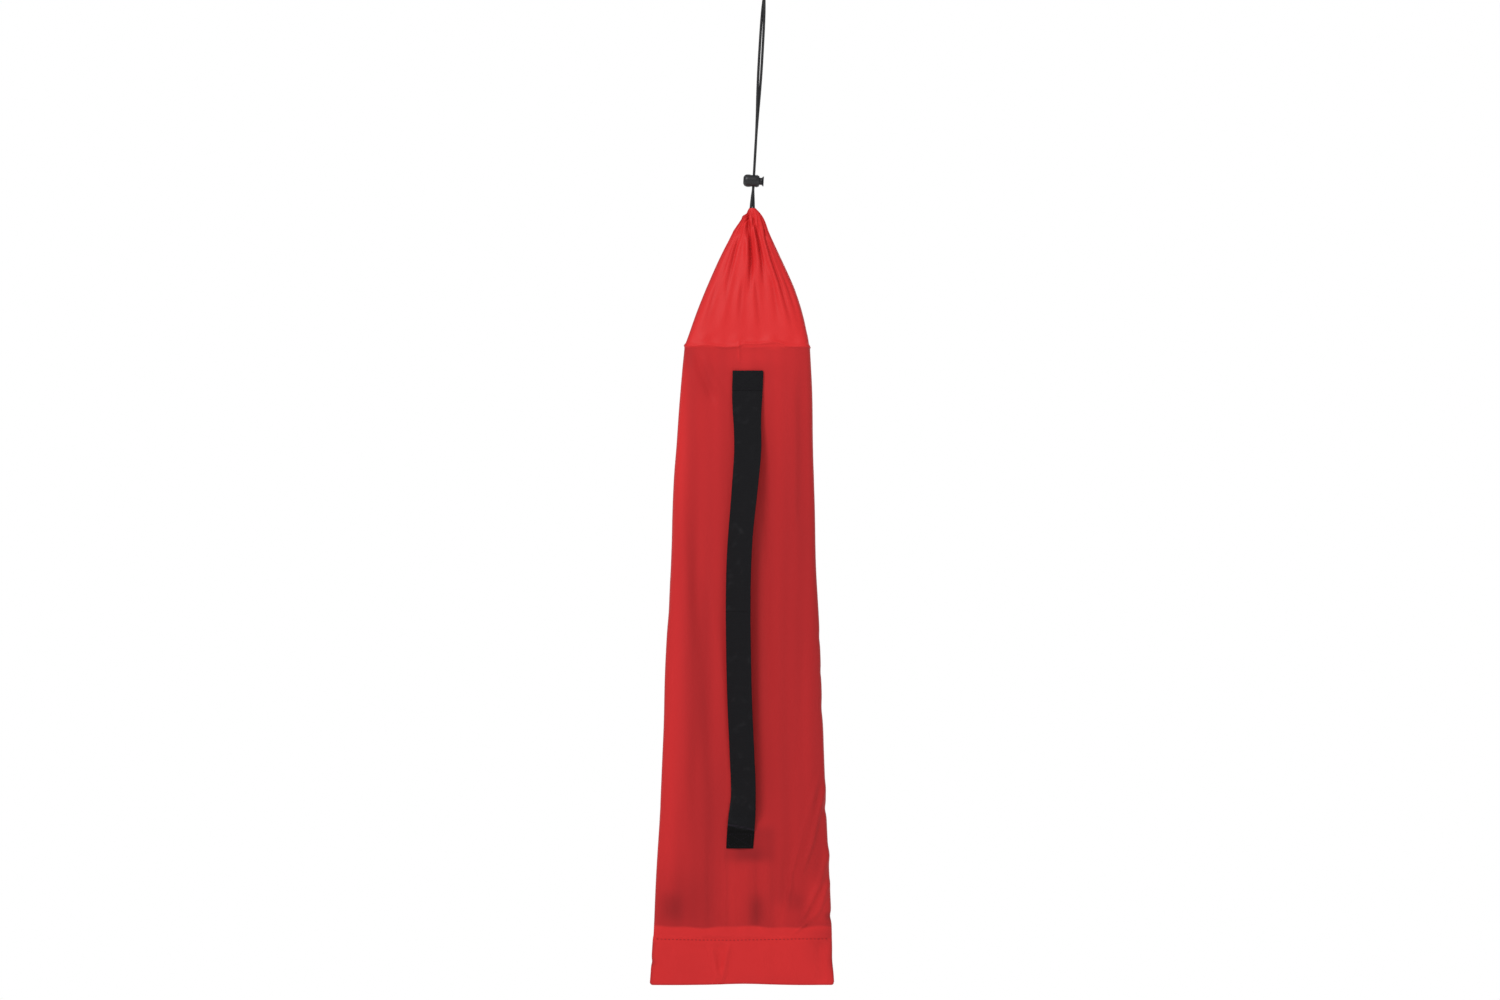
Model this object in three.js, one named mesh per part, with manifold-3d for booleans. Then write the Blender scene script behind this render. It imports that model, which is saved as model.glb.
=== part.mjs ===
// A packed windsock kit: a slim drawstring bag that hangs by its cord, with a carry strap sewn on the
// front, and the pole sections and the rolled sock inside. Millimetres, +Z up, the front faces -Y.
// The origin is where a hook carries the eye at the top of the cord.
import * as THREE from "three";
import { mergeVertices } from "three/addons/utils/BufferGeometryUtils.js";
import Module from "manifold-3d";

const wasm = await Module();
wasm.setup();

// ---- Driving dimensions ----

const GAP = 0.3; // left between two pieces that touch

// Heights, from the hook downwards
const EYE_HEIGHT = 14; // inner height of the cord eye above the knot
const KNOT_HEIGHT = 10;
const CORD_RUN = 202; // knot to the middle of the cord lock
const LOCK_TO_NECK = 30;
const CASING_HEIGHT = 24;
const CONE_HEIGHT = 128.7;
const BODY_HEIGHT = 650; // shoulder to the stitch line above the hem
const HEM_HEIGHT = 51.7;

// Bag
const SHOULDER_WIDTH = 136.5;
const SHOULDER_DEPTH = 66;
const FLARE_LEFT = 36; // how far the left edge runs out between the shoulder and the stitch line
const FLARE_RIGHT = 24;
const FOOT_DEPTH = 35; // front to back just above the stitch line
const HEM_DEPTH = 5.8;
const HEM_SPREAD = 3; // each side of the hem runs out by this much more
const CASING_WIDTH = 37.5; // across the gathered casing's lower edge
const CASING_MOUTH_ROOM = 0.3; // round the pair of strands where they leave the casing
const CASING_ROUNDNESS = 0.62; // depth of the gathered neck as a share of its width
const FABRIC_WALL = 1;
const CASING_WALL = 1.4;
const SEAM_THICKNESS = 0.8;
const SEAM_WIDTH = 7;

// Where the bag's middle lies to the side of the hook: it hangs a little to the left
const NECK_X = -14.5;
const CASING_FOOT_X = -16;
const SHOULDER_X = -20.3;

// Carry strap
const STRAP_WIDTH = 30;
const STRAP_THICKNESS = 1.6;
const STRAP_TOP_DROP = 27; // shoulder to the strap's upper end
const STRAP_LENGTH = 523; // end to end, along the bag
const TOP_TAB_LENGTH = 22;
const BOTTOM_TAB_LENGTH = 18;
const STRAP_STANDOFF = 10.5; // how far the middle of the loose part stands off the bag
const STRAP_TURN = 26; // degrees by which the loose part turns its right edge forwards
const PATCH_WIDTH = 42;
const PATCH_LENGTH = 38;
const FOOT_PATCH_SHIFT = 9; // how far to the right of the strap's lower end its patch was sewn
const FOOT_PATCH_DROP = 5; // and how far below it

// Cord and lock
const CORD_DIAMETER = 2.8;
const STRAND_SPACING = CORD_DIAMETER + GAP;
const NECK_SPREAD = 0.7; // the strands part by this much more at the neck
const KNOT_RADIUS = 4.4;
const LOCK_X = -13; // where the cord passes the middle of the lock
const KNOT_X = -1.5;
const BARREL_LENGTH = 17.8;
const BARREL_RADIUS = 6.95;
const BARREL_WALL_END = 1.6; // closed left end of the barrel
const STEM_RADIUS = 4.7;
const WAIST_RADIUS = 4;
const HEAD_RADIUS = 5.6;
const PRESS_TRAVEL = 2.4;
const CORD_PLACE = 11.4; // from the barrel's closed end to the cord
const SLOT_WEB = 1.5; // plunger's wall in front of its slot
const LIP = 1.2; // flange that keeps the plunger in the barrel
const SPRING_WIRE = 0.7;
const SPRING_RADIUS = 3.3;

// Pole sections and sock
const POLE_COUNT = 4;
const POLE_DIAMETER = 26;
const POLE_WALL = 1;
const POLE_LENGTH = 596;
const PLUG_LENGTH = 40;
const PLUG_STUB = 18; // part of the plug inside the tube
const TOP_SIDE_ROOM = 2.5; // from the outer poles to the bag's wall, at the shoulder
const FOOT_SIDE_ROOM = 22; // and at the foot, where they stand further apart
const HEADROOM = 2.3; // shoulder fabric to the tops of the poles
const SOCK_LENGTH = 370;
const SOCK_CLEARANCE = 2;
const TIE_WIDTH = 20;
const TIE_THICKNESS = 1.2;

// ---- Heights and places worked out from the driving dimensions ----

const KNOT_TOP = -EYE_HEIGHT;
const KNOT_FOOT = KNOT_TOP - KNOT_HEIGHT;
const LOCK_Z = KNOT_FOOT - CORD_RUN;
const NECK_Z = LOCK_Z - LOCK_TO_NECK;
const CASING_FOOT_Z = NECK_Z - CASING_HEIGHT;
const SHOULDER_Z = CASING_FOOT_Z - CONE_HEIGHT;
const STITCH_Z = SHOULDER_Z - BODY_HEIGHT;
const HEM_FOOT_Z = STITCH_Z - HEM_HEIGHT;
const STRAP_TOP_Z = SHOULDER_Z - STRAP_TOP_DROP;
const STRAP_FOOT_Z = STRAP_TOP_Z - STRAP_LENGTH;
const POLE_TOP_Z = SHOULDER_Z - HEADROOM;
const CASING_MOUTH = STRAND_SPACING + NECK_SPREAD + CORD_DIAMETER + 2 * (CASING_MOUTH_ROOM + CASING_WALL);
const PANEL_EDGE = SEAM_THICKNESS / 2 + GAP; // each panel stops this far from the seam plane

const lerp = THREE.MathUtils.lerp;
const clamp = THREE.MathUtils.clamp;

// ---- Materials ----

const material = (color, roughness, metalness = 0) => new THREE.MeshStandardMaterial({ color, roughness, metalness });
const nylon = material(0xc43a38, 0.6);
const webbing = material(0x1f1f21, 0.85);
const cord = material(0x28282a, 0.7);
const plastic = material(0x2c2b30, 0.45);
const steel = material(0xb8bcc2, 0.3, 0.9);
const tube = material(0xc6c9cc, 0.35, 0.9);
const cloth = material(0xe2622a, 0.8);

// ---- Helpers ----

// A closed geometry without seams between its faces, so that only its positions are left.
function welded(geometry) {
  const bare = geometry.index ? geometry.toNonIndexed() : geometry.clone();
  bare.deleteAttribute("normal");
  bare.deleteAttribute("uv");
  return mergeVertices(bare, 1e-4);
}

function solidOf(geometry) {
  const merged = welded(geometry);
  return new wasm.Manifold(
    new wasm.Mesh({
      numProp: 3,
      vertProperties: new Float32Array(merged.attributes.position.array),
      triVerts: new Uint32Array(merged.index.array),
    }),
  );
}

function geometryOf(solid) {
  const mesh = solid.getMesh();
  const geometry = new THREE.BufferGeometry();
  geometry.setAttribute("position", new THREE.BufferAttribute(mesh.vertProperties, 3));
  geometry.setIndex(new THREE.BufferAttribute(mesh.triVerts, 1));
  return geometry;
}

const cut = (geometry, ...tools) =>
  geometryOf(tools.reduce((left, tool) => left.subtract(solidOf(tool)), solidOf(geometry)));

function named(name, geometry, look) {
  const mesh = new THREE.Mesh(geometry, look);
  mesh.name = name;
  return mesh;
}

// Runs a flat shape from 0 to 1 in the given number of steps, then carries each point (u, v, w) to place(u, v, w).
function carried(shape, steps, place, arcPoints = 24) {
  const flat = { depth: 1, steps, bevelEnabled: false, curveSegments: arcPoints / 2 };
  const geometry = welded(new THREE.ExtrudeGeometry(shape, flat));
  const position = geometry.attributes.position;
  for (let i = 0; i < position.count; i += 1) {
    const [x, y, z] = place(position.getX(i), position.getY(i), position.getZ(i));
    position.setXYZ(i, x, y, z);
  }
  return geometry;
}

function rectangle(width, height) {
  const shape = new THREE.Shape();
  shape.moveTo(-width / 2, -height / 2);
  shape.lineTo(width / 2, -height / 2);
  shape.lineTo(width / 2, height / 2);
  shape.lineTo(-width / 2, height / 2);
  shape.closePath();
  return shape;
}

// A tube of round section along a curve.
function tubeAlong(points, radius, sides, steps) {
  const path = new THREE.CatmullRomCurve3(points.map((p) => new THREE.Vector3(...p)), false, "centripetal");
  const shape = new THREE.Shape().absarc(0, 0, radius, 0, 2 * Math.PI);
  return new THREE.ExtrudeGeometry(shape, { extrudePath: path, steps, curveSegments: sides / 2 });
}

// A lathe whose axis is +Z, from [radius, height] points.
function turned(profile, segments) {
  const geometry = new THREE.LatheGeometry(profile.map(([r, z]) => new THREE.Vector2(r, z)), segments);
  return geometry.rotateX(Math.PI / 2);
}

// ---- The bag's outside ----

// Half width, half depth, middle and squareness of the bag's section at a height between the casing and the stitch
// line. The section is a superellipse: a box where the flat tops of the poles hold it out, a lens at the foot.
function section(z) {
  const casingHalf = CASING_WIDTH / 2;
  if (z > SHOULDER_Z) {
    const g = clamp((CASING_FOOT_Z - z) / CONE_HEIGHT, 0, 1);
    const bulge = Math.sin(Math.PI * g);
    const left = lerp(CASING_FOOT_X - casingHalf, SHOULDER_X - SHOULDER_WIDTH / 2, g + 0.09 * bulge);
    const right = lerp(CASING_FOOT_X + casingHalf, SHOULDER_X + SHOULDER_WIDTH / 2, g + 0.13 * bulge);
    const depth = lerp(casingHalf * CASING_ROUNDNESS, SHOULDER_DEPTH / 2, g + 0.06 * bulge);
    return { middle: (left + right) / 2, half: (right - left) / 2, depth, square: 2 + 6 * g * g };
  }
  const f = clamp((SHOULDER_Z - z) / BODY_HEIGHT, 0, 1);
  const left = SHOULDER_X - SHOULDER_WIDTH / 2 - FLARE_LEFT * (0.16 * (1 - Math.exp(-8.5 * f)) + 0.84 * f);
  const right = SHOULDER_X + SHOULDER_WIDTH / 2 + FLARE_RIGHT * f;
  const closing = clamp((f - CLOSING_START) / (1 - CLOSING_START), 0, 1);
  const open = lerp(SHOULDER_DEPTH / 2, FOOT_DEPTH / 2, Math.min(f / CLOSING_START, 1));
  const depth = lerp(HEM_DEPTH / 2, open, Math.sqrt(1 - closing * closing));
  return { middle: (left + right) / 2, half: (right - left) / 2, depth, square: lerp(8, 2.5, Math.min(f / 0.9, 1)) };
}
const CONTENTS_LENGTH = POLE_LENGTH + PLUG_LENGTH;
const CLOSING_START = (HEADROOM + CONTENTS_LENGTH) / BODY_HEIGHT - 0.004;

// A point of the bag's wall at an angle around the section, sunk below the outside by an inset.
function wallPoint(angle, z, inset) {
  const s = section(z);
  const c = Math.cos(angle);
  const d = Math.sin(angle);
  const reach = (Math.abs(c) ** s.square + Math.abs(d) ** s.square) ** (-1 / s.square);
  const out = PANEL_EDGE + (s.depth - inset - PANEL_EDGE) * Math.abs(d) * reach;
  return [s.middle + (s.half - inset) * c * reach, Math.sign(d) * out, z];
}

// How far the bag's front stands out at a place, inset or proud of it by the given amount.
function frontDepth(x, z, inset) {
  const s = section(z);
  const share = clamp(Math.abs(x - s.middle) / (s.half - inset), 0, 0.999);
  return PANEL_EDGE + (s.depth - inset - PANEL_EDGE) * (1 - share ** s.square) ** (1 / s.square);
}

// Heights of the wall's rows: closer together at the shoulder and where the bag closes over the pole ends.
const CONE_ROWS = 7;
const BODY_ROWS = 15;
const CLOSING_ROWS = 4;
function rowHeight(row) {
  const closingTop = SHOULDER_Z - CLOSING_START * BODY_HEIGHT;
  if (row <= CONE_ROWS) return lerp(CASING_FOOT_Z, SHOULDER_Z, row / CONE_ROWS);
  if (row <= CONE_ROWS + BODY_ROWS) return lerp(SHOULDER_Z, closingTop, ((row - CONE_ROWS) / BODY_ROWS) ** 1.2);
  return lerp(closingTop, STITCH_Z, Math.sin((Math.PI / 2) * ((row - CONE_ROWS - BODY_ROWS) / CLOSING_ROWS)));
}
const WALL_ROWS = CONE_ROWS + BODY_ROWS + CLOSING_ROWS;

// Half of the bag's wall: a half ring of radius 1 inside and 2 outside, carried down the bag. side is -1 for the
// front and 1 for the back.
function panel(side) {
  const half = new THREE.Shape();
  half.absarc(0, 0, 2, 0, Math.PI, false);
  half.absarc(0, 0, 1, Math.PI, 0, true);
  half.closePath();
  const place = (u, v, w) => {
    const angle = clamp(Math.atan2(v, u), 1e-4, Math.PI - 1e-4);
    const inset = (2 - clamp(Math.hypot(u, v), 1, 2)) * FABRIC_WALL;
    const row = side < 0 ? w * WALL_ROWS : (1 - w) * WALL_ROWS;
    return wallPoint(side * angle, rowHeight(row), inset);
  };
  return carried(half, WALL_ROWS, place, 16);
}

// The seam allowance between the two panels: a flat strip in the plane y = 0 that follows the bag's edge.
function sideSeam(side) {
  const place = (u, v, w) => {
    const z = rowHeight(w * WALL_ROWS);
    const s = section(z);
    const width = Math.min(SEAM_WIDTH, s.half / 3);
    return [s.middle + side * (s.half - (0.5 + u) * width), side * v * SEAM_THICKNESS, z];
  };
  return carried(rectangle(1, 1), WALL_ROWS, place);
}

// The flat hem below the stitch line.
function hem() {
  const top = section(STITCH_Z);
  const place = (u, v, w) => {
    const half = top.half + HEM_SPREAD * w;
    const depth = HEM_DEPTH * lerp(1, 0.6, w);
    return [top.middle + 2 * half * u, -v * depth, lerp(STITCH_Z - GAP, HEM_FOOT_Z, w)];
  };
  return carried(rectangle(1, 1), 6, place);
}

// The gathered casing at the neck: an oval hood, open below to the bag and above for the cord.
function casing() {
  const ring = new THREE.Shape().absarc(0, 0, 2, 0, 2 * Math.PI, false);
  ring.holes.push(new THREE.Path().absarc(0, 0, 1, 0, 2 * Math.PI, true));
  const place = (u, v, w) => {
    const angle = Math.atan2(v, u);
    const inset = (2 - Math.hypot(u, v)) * CASING_WALL;
    const radius = lerp(CASING_MOUTH / 2, CASING_WIDTH / 2, w ** 0.85) - inset;
    const deep = radius * lerp(0.8, CASING_ROUNDNESS, w);
    const x = lerp(NECK_X, CASING_FOOT_X, w) + radius * Math.cos(angle);
    return [x, -deep * Math.sin(angle), lerp(NECK_Z, CASING_FOOT_Z + GAP, w)];
  };
  return carried(ring, 5, place, 20);
}

// ---- Carry strap ----

// Sideways place of the strap's middle, and how far the loose part turns and stands off, along the strap from 0 at
// its upper end to 1 at its lower end.
const STRAP_PATH = new THREE.CatmullRomCurve3(
  [
    [0, -17.6],
    [0.12, -20],
    [0.24, -23.2],
    [0.36, -28.5],
    [0.55, -30.2],
    [0.72, -28],
    [0.88, -25.4],
    [0.95, -27.5],
    [1, -28.6],
  ].map(([along, x]) => new THREE.Vector3(along, x, 0)),
);

function strapMiddle(along) {
  let low = 0;
  let high = 1;
  for (let i = 0; i < 30; i += 1) {
    const mid = (low + high) / 2;
    if (STRAP_PATH.getPoint(mid).x < along) low = mid;
    else high = mid;
  }
  return STRAP_PATH.getPoint(low).y;
}

// A stretch of the strap between two heights. loose is 0 at rest on the bag and 1 for the part that stands off it.
function strapStretch(topZ, footZ, steps, loose) {
  const place = (u, v, w) => {
    const z = lerp(topZ, footZ, w);
    const x = strapMiddle((STRAP_TOP_Z - z) / STRAP_LENGTH);
    const rise = Math.sin(Math.PI * w);
    const off = loose * (2 * rise - rise * rise);
    const turn = THREE.MathUtils.degToRad(STRAP_TURN * off);
    const across = u * STRAP_WIDTH;
    const out = v * STRAP_THICKNESS;
    const rest = frontDepth(x, z, 0) + GAP + STRAP_THICKNESS / 2 + STRAP_STANDOFF * off;
    return [
      x + across * Math.cos(turn) - out * Math.sin(turn),
      -(rest + across * Math.sin(turn) + out * Math.cos(turn)),
      z,
    ];
  };
  return carried(rectangle(1, 1), steps, place);
}

// A square of fabric inside the front panel, behind one sewn end of the strap, and shifted sideways from it.
function patch(middleZ, shift) {
  const x = strapMiddle((STRAP_TOP_Z - middleZ) / STRAP_LENGTH) + shift;
  const place = (u, v, w) => {
    const z = middleZ + PATCH_LENGTH * (0.5 - w);
    const edge = frontDepth(x + u * PATCH_WIDTH, z, FABRIC_WALL) - GAP - 0.4;
    return [x + u * PATCH_WIDTH, -(edge - (0.5 - v) * FABRIC_WALL), z];
  };
  return carried(rectangle(1, 1), 4, place);
}

// ---- Cord ----

const cordX = (z) => lerp(LOCK_X, KNOT_X, (z - LOCK_Z) / CORD_RUN);

// The two strands turn slowly about each other. Each station is a height below the knot, the middle of the pair, the
// distance between the strands and the turn of the pair in degrees, where 90 puts the first strand in front.
const PAIR = [
  [KNOT_FOOT - GAP, cordX(KNOT_FOOT), STRAND_SPACING, -80],
  [KNOT_FOOT - 14, cordX(KNOT_FOOT - 14), STRAND_SPACING, -45],
  [KNOT_FOOT - 32, cordX(KNOT_FOOT - 32), STRAND_SPACING, -12],
  [KNOT_FOOT - 60, cordX(KNOT_FOOT - 60), STRAND_SPACING + 0.5, 4],
  [KNOT_FOOT - 86, cordX(KNOT_FOOT - 86), STRAND_SPACING + 0.3, 10],
  [KNOT_FOOT - 108, cordX(KNOT_FOOT - 108), STRAND_SPACING, 40],
  [KNOT_FOOT - 130, cordX(KNOT_FOOT - 130), STRAND_SPACING, 72],
  [KNOT_FOOT - 155, cordX(KNOT_FOOT - 155), STRAND_SPACING, 90],
  [LOCK_Z + 12, cordX(LOCK_Z + 12), STRAND_SPACING, 90],
  [LOCK_Z, cordX(LOCK_Z), STRAND_SPACING, 90],
  [LOCK_Z - 9, cordX(LOCK_Z - 9), STRAND_SPACING, 90],
  [LOCK_Z - 18, cordX(LOCK_Z - 18), STRAND_SPACING + 0.1, 40],
  [NECK_Z, NECK_X, STRAND_SPACING + NECK_SPREAD, 4],
  [NECK_Z - 7, NECK_X, STRAND_SPACING + 0.9, 0],
];

function strand(side) {
  const points = PAIR.map(([z, x, spacing, turn]) => {
    const angle = THREE.MathUtils.degToRad(turn);
    return [x - (side * spacing * Math.cos(angle)) / 2, (-side * spacing * Math.sin(angle)) / 2, z];
  });
  return tubeAlong(points, CORD_DIAMETER / 2, 8, 40);
}

// The stretch of cord inside the casing, round the back of the gathered mouth from one strand to the other.
function hemRun() {
  const half = PAIR.at(-1)[2] / 2;
  const top = NECK_Z - 7 - GAP;
  const points = [
    [NECK_X - half, 0, top],
    [NECK_X - half, 0, top - 1.6],
    [NECK_X - 5.4, 0.6, top - 5.2],
    [NECK_X - 6.4, 3, top - 8],
    [NECK_X, 4.6, top - 9],
    [NECK_X + 6.4, 3, top - 8],
    [NECK_X + 5.4, 0.6, top - 5.2],
    [NECK_X + half, 0, top - 1.6],
    [NECK_X + half, 0, top],
  ];
  return tubeAlong(points, CORD_DIAMETER / 2, 8, 24);
}

function eye() {
  const top = CORD_DIAMETER / 2 + 0.1;
  const foot = KNOT_TOP + GAP;
  const points = [
    [-2, 0, foot],
    [-3.6, 0, foot + 4],
    [-4.6, 0, foot + 9],
    [-3, 0, top - 1],
    [0, 0, top],
    [3, 0, top - 1],
    [4.6, 0, foot + 9],
    [3.2, 0, foot + 4],
    [1.4, 0, foot],
  ];
  return tubeAlong(points, CORD_DIAMETER / 2, 8, 26);
}

// The knot's outer shape: a barrel with rounded ends.
function knot() {
  const points = [];
  const rows = 8;
  for (let i = 0; i <= rows; i += 1) {
    const angle = (Math.PI * i) / rows;
    points.push([KNOT_RADIUS * Math.sin(angle) ** 0.7, (-KNOT_HEIGHT / 2) * Math.cos(angle)]);
  }
  points[0][0] = 0;
  points[rows][0] = 0;
  return turned(points, 14).translate(lerp(KNOT_X, 0, 0.3), 0, (KNOT_TOP + KNOT_FOOT) / 2);
}

// ---- Cord lock, along its own +X, with the cord at x = 0 ----

const BORE_RADIUS = STEM_RADIUS + GAP;
const PASSAGE = CORD_DIAMETER + 2 * GAP; // what the slots leave for the cord at rest
const SLOT_LENGTH = PASSAGE + PRESS_TRAVEL;
const SLOT_LEFT = CORD_PLACE - PASSAGE / 2; // plunger's slot edge that holds the cord
const SLOT_RIGHT = CORD_PLACE + PASSAGE / 2; // barrel's slot edge on the other side
const STEM_START = SLOT_LEFT - SLOT_WEB;
const STEM_END = BARREL_LENGTH - LIP - GAP;
const HEAD_START = BARREL_LENGTH + PRESS_TRAVEL + 0.1;
const HEAD_LENGTH = 2.2;
const SLOT_DEPTH = STRAND_SPACING + CORD_DIAMETER + 2 * GAP;

const alongLock = (geometry) => geometry.rotateY(Math.PI / 2).translate(-CORD_PLACE, 0, 0);

function box(left, right, deep, tall) {
  return new THREE.BoxGeometry(right - left, deep, tall).translate((left + right) / 2 - CORD_PLACE, 0, 0);
}

function barrel() {
  const r = BARREL_RADIUS;
  const l = BARREL_LENGTH;
  const outside = [
    [0, 0],
    [0.45 * r, 0],
    [0.72 * r, 0.6],
    [0.9 * r, 1.9],
    [0.98 * r, 3.6],
    [r, 5.5],
    [r, l - 4.4],
    [0.97 * r, l - 2.8],
    [0.9 * r, l - 1.4],
    [0.8 * r, l - 0.5],
    [0.7 * r, l],
    [0, l],
  ];
  const bore = new THREE.CylinderGeometry(BORE_RADIUS, BORE_RADIUS, l - LIP - BARREL_WALL_END, 20);
  const mouth = new THREE.CylinderGeometry(WAIST_RADIUS + GAP, WAIST_RADIUS + GAP, LIP + 2, 20);
  bore.rotateZ(Math.PI / 2).translate((BARREL_WALL_END + l - LIP) / 2 - CORD_PLACE, 0, 0);
  mouth.rotateZ(Math.PI / 2).translate(l - CORD_PLACE, 0, 0);
  const slot = box(SLOT_RIGHT - SLOT_LENGTH, SLOT_RIGHT, SLOT_DEPTH, 3 * r);
  return cut(alongLock(turned(outside, 24)), bore, mouth, slot);
}

function plunger() {
  const outside = [
    [0, STEM_START],
    [STEM_RADIUS, STEM_START],
    [STEM_RADIUS, STEM_END],
    [WAIST_RADIUS, STEM_END],
    [WAIST_RADIUS, HEAD_START],
    [HEAD_RADIUS, HEAD_START + 0.65 * HEAD_LENGTH],
    [HEAD_RADIUS, HEAD_START + 0.9 * HEAD_LENGTH],
    [0.9 * HEAD_RADIUS, HEAD_START + HEAD_LENGTH],
    [0, HEAD_START + HEAD_LENGTH],
  ];
  const slot = box(SLOT_LEFT, SLOT_LEFT + SLOT_LENGTH, SLOT_DEPTH, 3 * STEM_RADIUS);
  return cut(alongLock(turned(outside, 20)), slot);
}

function spring() {
  const turns = 3.5;
  const start = BARREL_WALL_END + GAP + SPRING_WIRE / 2;
  const end = STEM_START - GAP - SPRING_WIRE / 2;
  const perTurn = 10;
  const points = [];
  for (let i = 0; i <= turns * perTurn; i += 1) {
    const angle = (2 * Math.PI * i) / perTurn;
    const along = lerp(start, end, i / (turns * perTurn)) - CORD_PLACE;
    points.push([along, SPRING_RADIUS * Math.cos(angle), SPRING_RADIUS * Math.sin(angle)]);
  }
  return tubeAlong(points, SPRING_WIRE / 2, 6, turns * perTurn);
}

// ---- Contents ----

const POLE_RADIUS = POLE_DIAMETER / 2;
const ROW_TOP_Y = -(SHOULDER_DEPTH / 2 - FABRIC_WALL - POLE_RADIUS - 3.5); // the row of poles leans on the front
const FOOT_Z = POLE_TOP_Z - CONTENTS_LENGTH;

// Stands a piece that was turned about +Z, with its top at 0, on the line of one pole.
function onPole(index, name, geometry, look) {
  const place = (2 * index) / (POLE_COUNT - 1) - 1;
  const spread = (z, room) => place * (section(z).half - FABRIC_WALL - room - POLE_RADIUS);
  const topX = section(POLE_TOP_Z).middle + spread(POLE_TOP_Z, TOP_SIDE_ROOM);
  const footX = section(FOOT_Z).middle + spread(FOOT_Z, FOOT_SIDE_ROOM);
  const top = new THREE.Vector3(topX, ROW_TOP_Y, POLE_TOP_Z);
  const foot = new THREE.Vector3(footX, 0, FOOT_Z);
  const mesh = named(name, geometry, look);
  mesh.position.copy(top);
  mesh.quaternion.setFromUnitVectors(new THREE.Vector3(0, 0, 1), top.clone().sub(foot).normalize());
  return mesh;
}

function poleTube() {
  const inner = POLE_RADIUS - POLE_WALL;
  return turned(
    [
      [inner, -POLE_LENGTH],
      [POLE_RADIUS, -POLE_LENGTH],
      [POLE_RADIUS, 0],
      [inner, 0],
      [inner, -POLE_LENGTH],
    ],
    16,
  );
}

function polePlug() {
  const stub = POLE_RADIUS - POLE_WALL - GAP;
  const top = -POLE_LENGTH - GAP;
  const foot = -CONTENTS_LENGTH;
  return turned(
    [
      [0, foot],
      [POLE_RADIUS - 2, foot],
      [POLE_RADIUS, foot + 2],
      [POLE_RADIUS, top],
      [stub, top],
      [stub, top + PLUG_STUB],
      [0, top + PLUG_STUB],
    ],
    16,
  );
}

// The room behind the row of poles at a height: its front and back, and half its width.
function roomBehind(z) {
  const s = section(z);
  const down = clamp((POLE_TOP_Z - z) / CONTENTS_LENGTH, 0, 1);
  const front = lerp(ROW_TOP_Y, 0, down) + POLE_RADIUS + SOCK_CLEARANCE;
  const back = s.depth - FABRIC_WALL - SOCK_CLEARANCE;
  return { middle: s.middle, half: s.half - FABRIC_WALL - SEAM_WIDTH, front, back };
}

// The sock, folded flat and rolled into a pad that fills the room behind the poles. proud makes the tie round it.
function sockPoint(angle, z, proud) {
  const room = roomBehind(z);
  const c = Math.cos(angle);
  const d = Math.sin(angle);
  const reach = (Math.abs(c) ** 3.5 + Math.abs(d) ** 3.5) ** (-1 / 3.5);
  const deep = (room.back - room.front) / 2 - TIE_THICKNESS - GAP + proud;
  const half = room.half - 6 - TIE_THICKNESS - GAP + proud;
  return [room.middle + half * c * reach, (room.back + room.front) / 2 - deep * d * reach, z];
}

function sock() {
  const round = new THREE.Shape().absarc(0, 0, 1, 0, 2 * Math.PI, false);
  const top = POLE_TOP_Z - 1;
  const place = (u, v, w) => sockPoint(Math.atan2(v, u), lerp(top, top - SOCK_LENGTH, w), 0);
  return carried(round, 8, place, 24);
}

// A narrow ring, so that its end faces join only neighbouring points of its two edges.
function sockTie() {
  const inner = 19;
  const ring = new THREE.Shape().absarc(0, 0, inner + 1, 0, 2 * Math.PI, false);
  ring.holes.push(new THREE.Path().absarc(0, 0, inner, 0, 2 * Math.PI, true));
  const top = POLE_TOP_Z - SOCK_LENGTH / 2;
  const place = (u, v, w) => {
    const proud = GAP + (Math.hypot(u, v) - inner) * TIE_THICKNESS;
    return sockPoint(Math.atan2(v, u), top - TIE_WIDTH * w, proud);
  };
  return carried(ring, 1, place, 24);
}

// ---- Assembly ----

const group = new THREE.Group();

group.add(named("front_panel", panel(-1), nylon));
group.add(named("back_panel", panel(1), nylon));
group.add(named("left_side_seam", sideSeam(-1), nylon));
group.add(named("right_side_seam", sideSeam(1), nylon));
group.add(named("neck_casing", casing(), nylon));
group.add(named("bottom_hem", hem(), nylon));

const looseTop = STRAP_TOP_Z - TOP_TAB_LENGTH;
const looseFoot = STRAP_FOOT_Z + BOTTOM_TAB_LENGTH;
group.add(named("strap_top_tab", strapStretch(STRAP_TOP_Z, looseTop + GAP, 3, 0), webbing));
group.add(named("carry_strap", strapStretch(looseTop, looseFoot, 26, 1), webbing));
group.add(named("strap_bottom_tab", strapStretch(looseFoot - GAP, STRAP_FOOT_Z, 3, 0), webbing));
group.add(named("strap_top_patch", patch(STRAP_TOP_Z - TOP_TAB_LENGTH / 2, 0), nylon));
const footPatchZ = STRAP_FOOT_Z + BOTTOM_TAB_LENGTH / 2 - FOOT_PATCH_DROP;
group.add(named("strap_bottom_patch", patch(footPatchZ, FOOT_PATCH_SHIFT), nylon));

group.add(named("cord_eye", eye(), cord));
group.add(named("cord_knot", knot(), cord));
group.add(named("drawstring_first", strand(1), cord));
group.add(named("drawstring_second", strand(-1), cord));
group.add(named("drawstring_in_casing", hemRun(), cord));

const lock = new THREE.Group();
lock.position.set(LOCK_X, 0, LOCK_Z);
lock.rotation.y = Math.atan2(KNOT_X - LOCK_X, CORD_RUN);
lock.add(named("lock_barrel", barrel(), plastic));
lock.add(named("lock_plunger", plunger(), plastic));
lock.add(named("lock_spring", spring(), steel));
group.add(lock);

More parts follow.
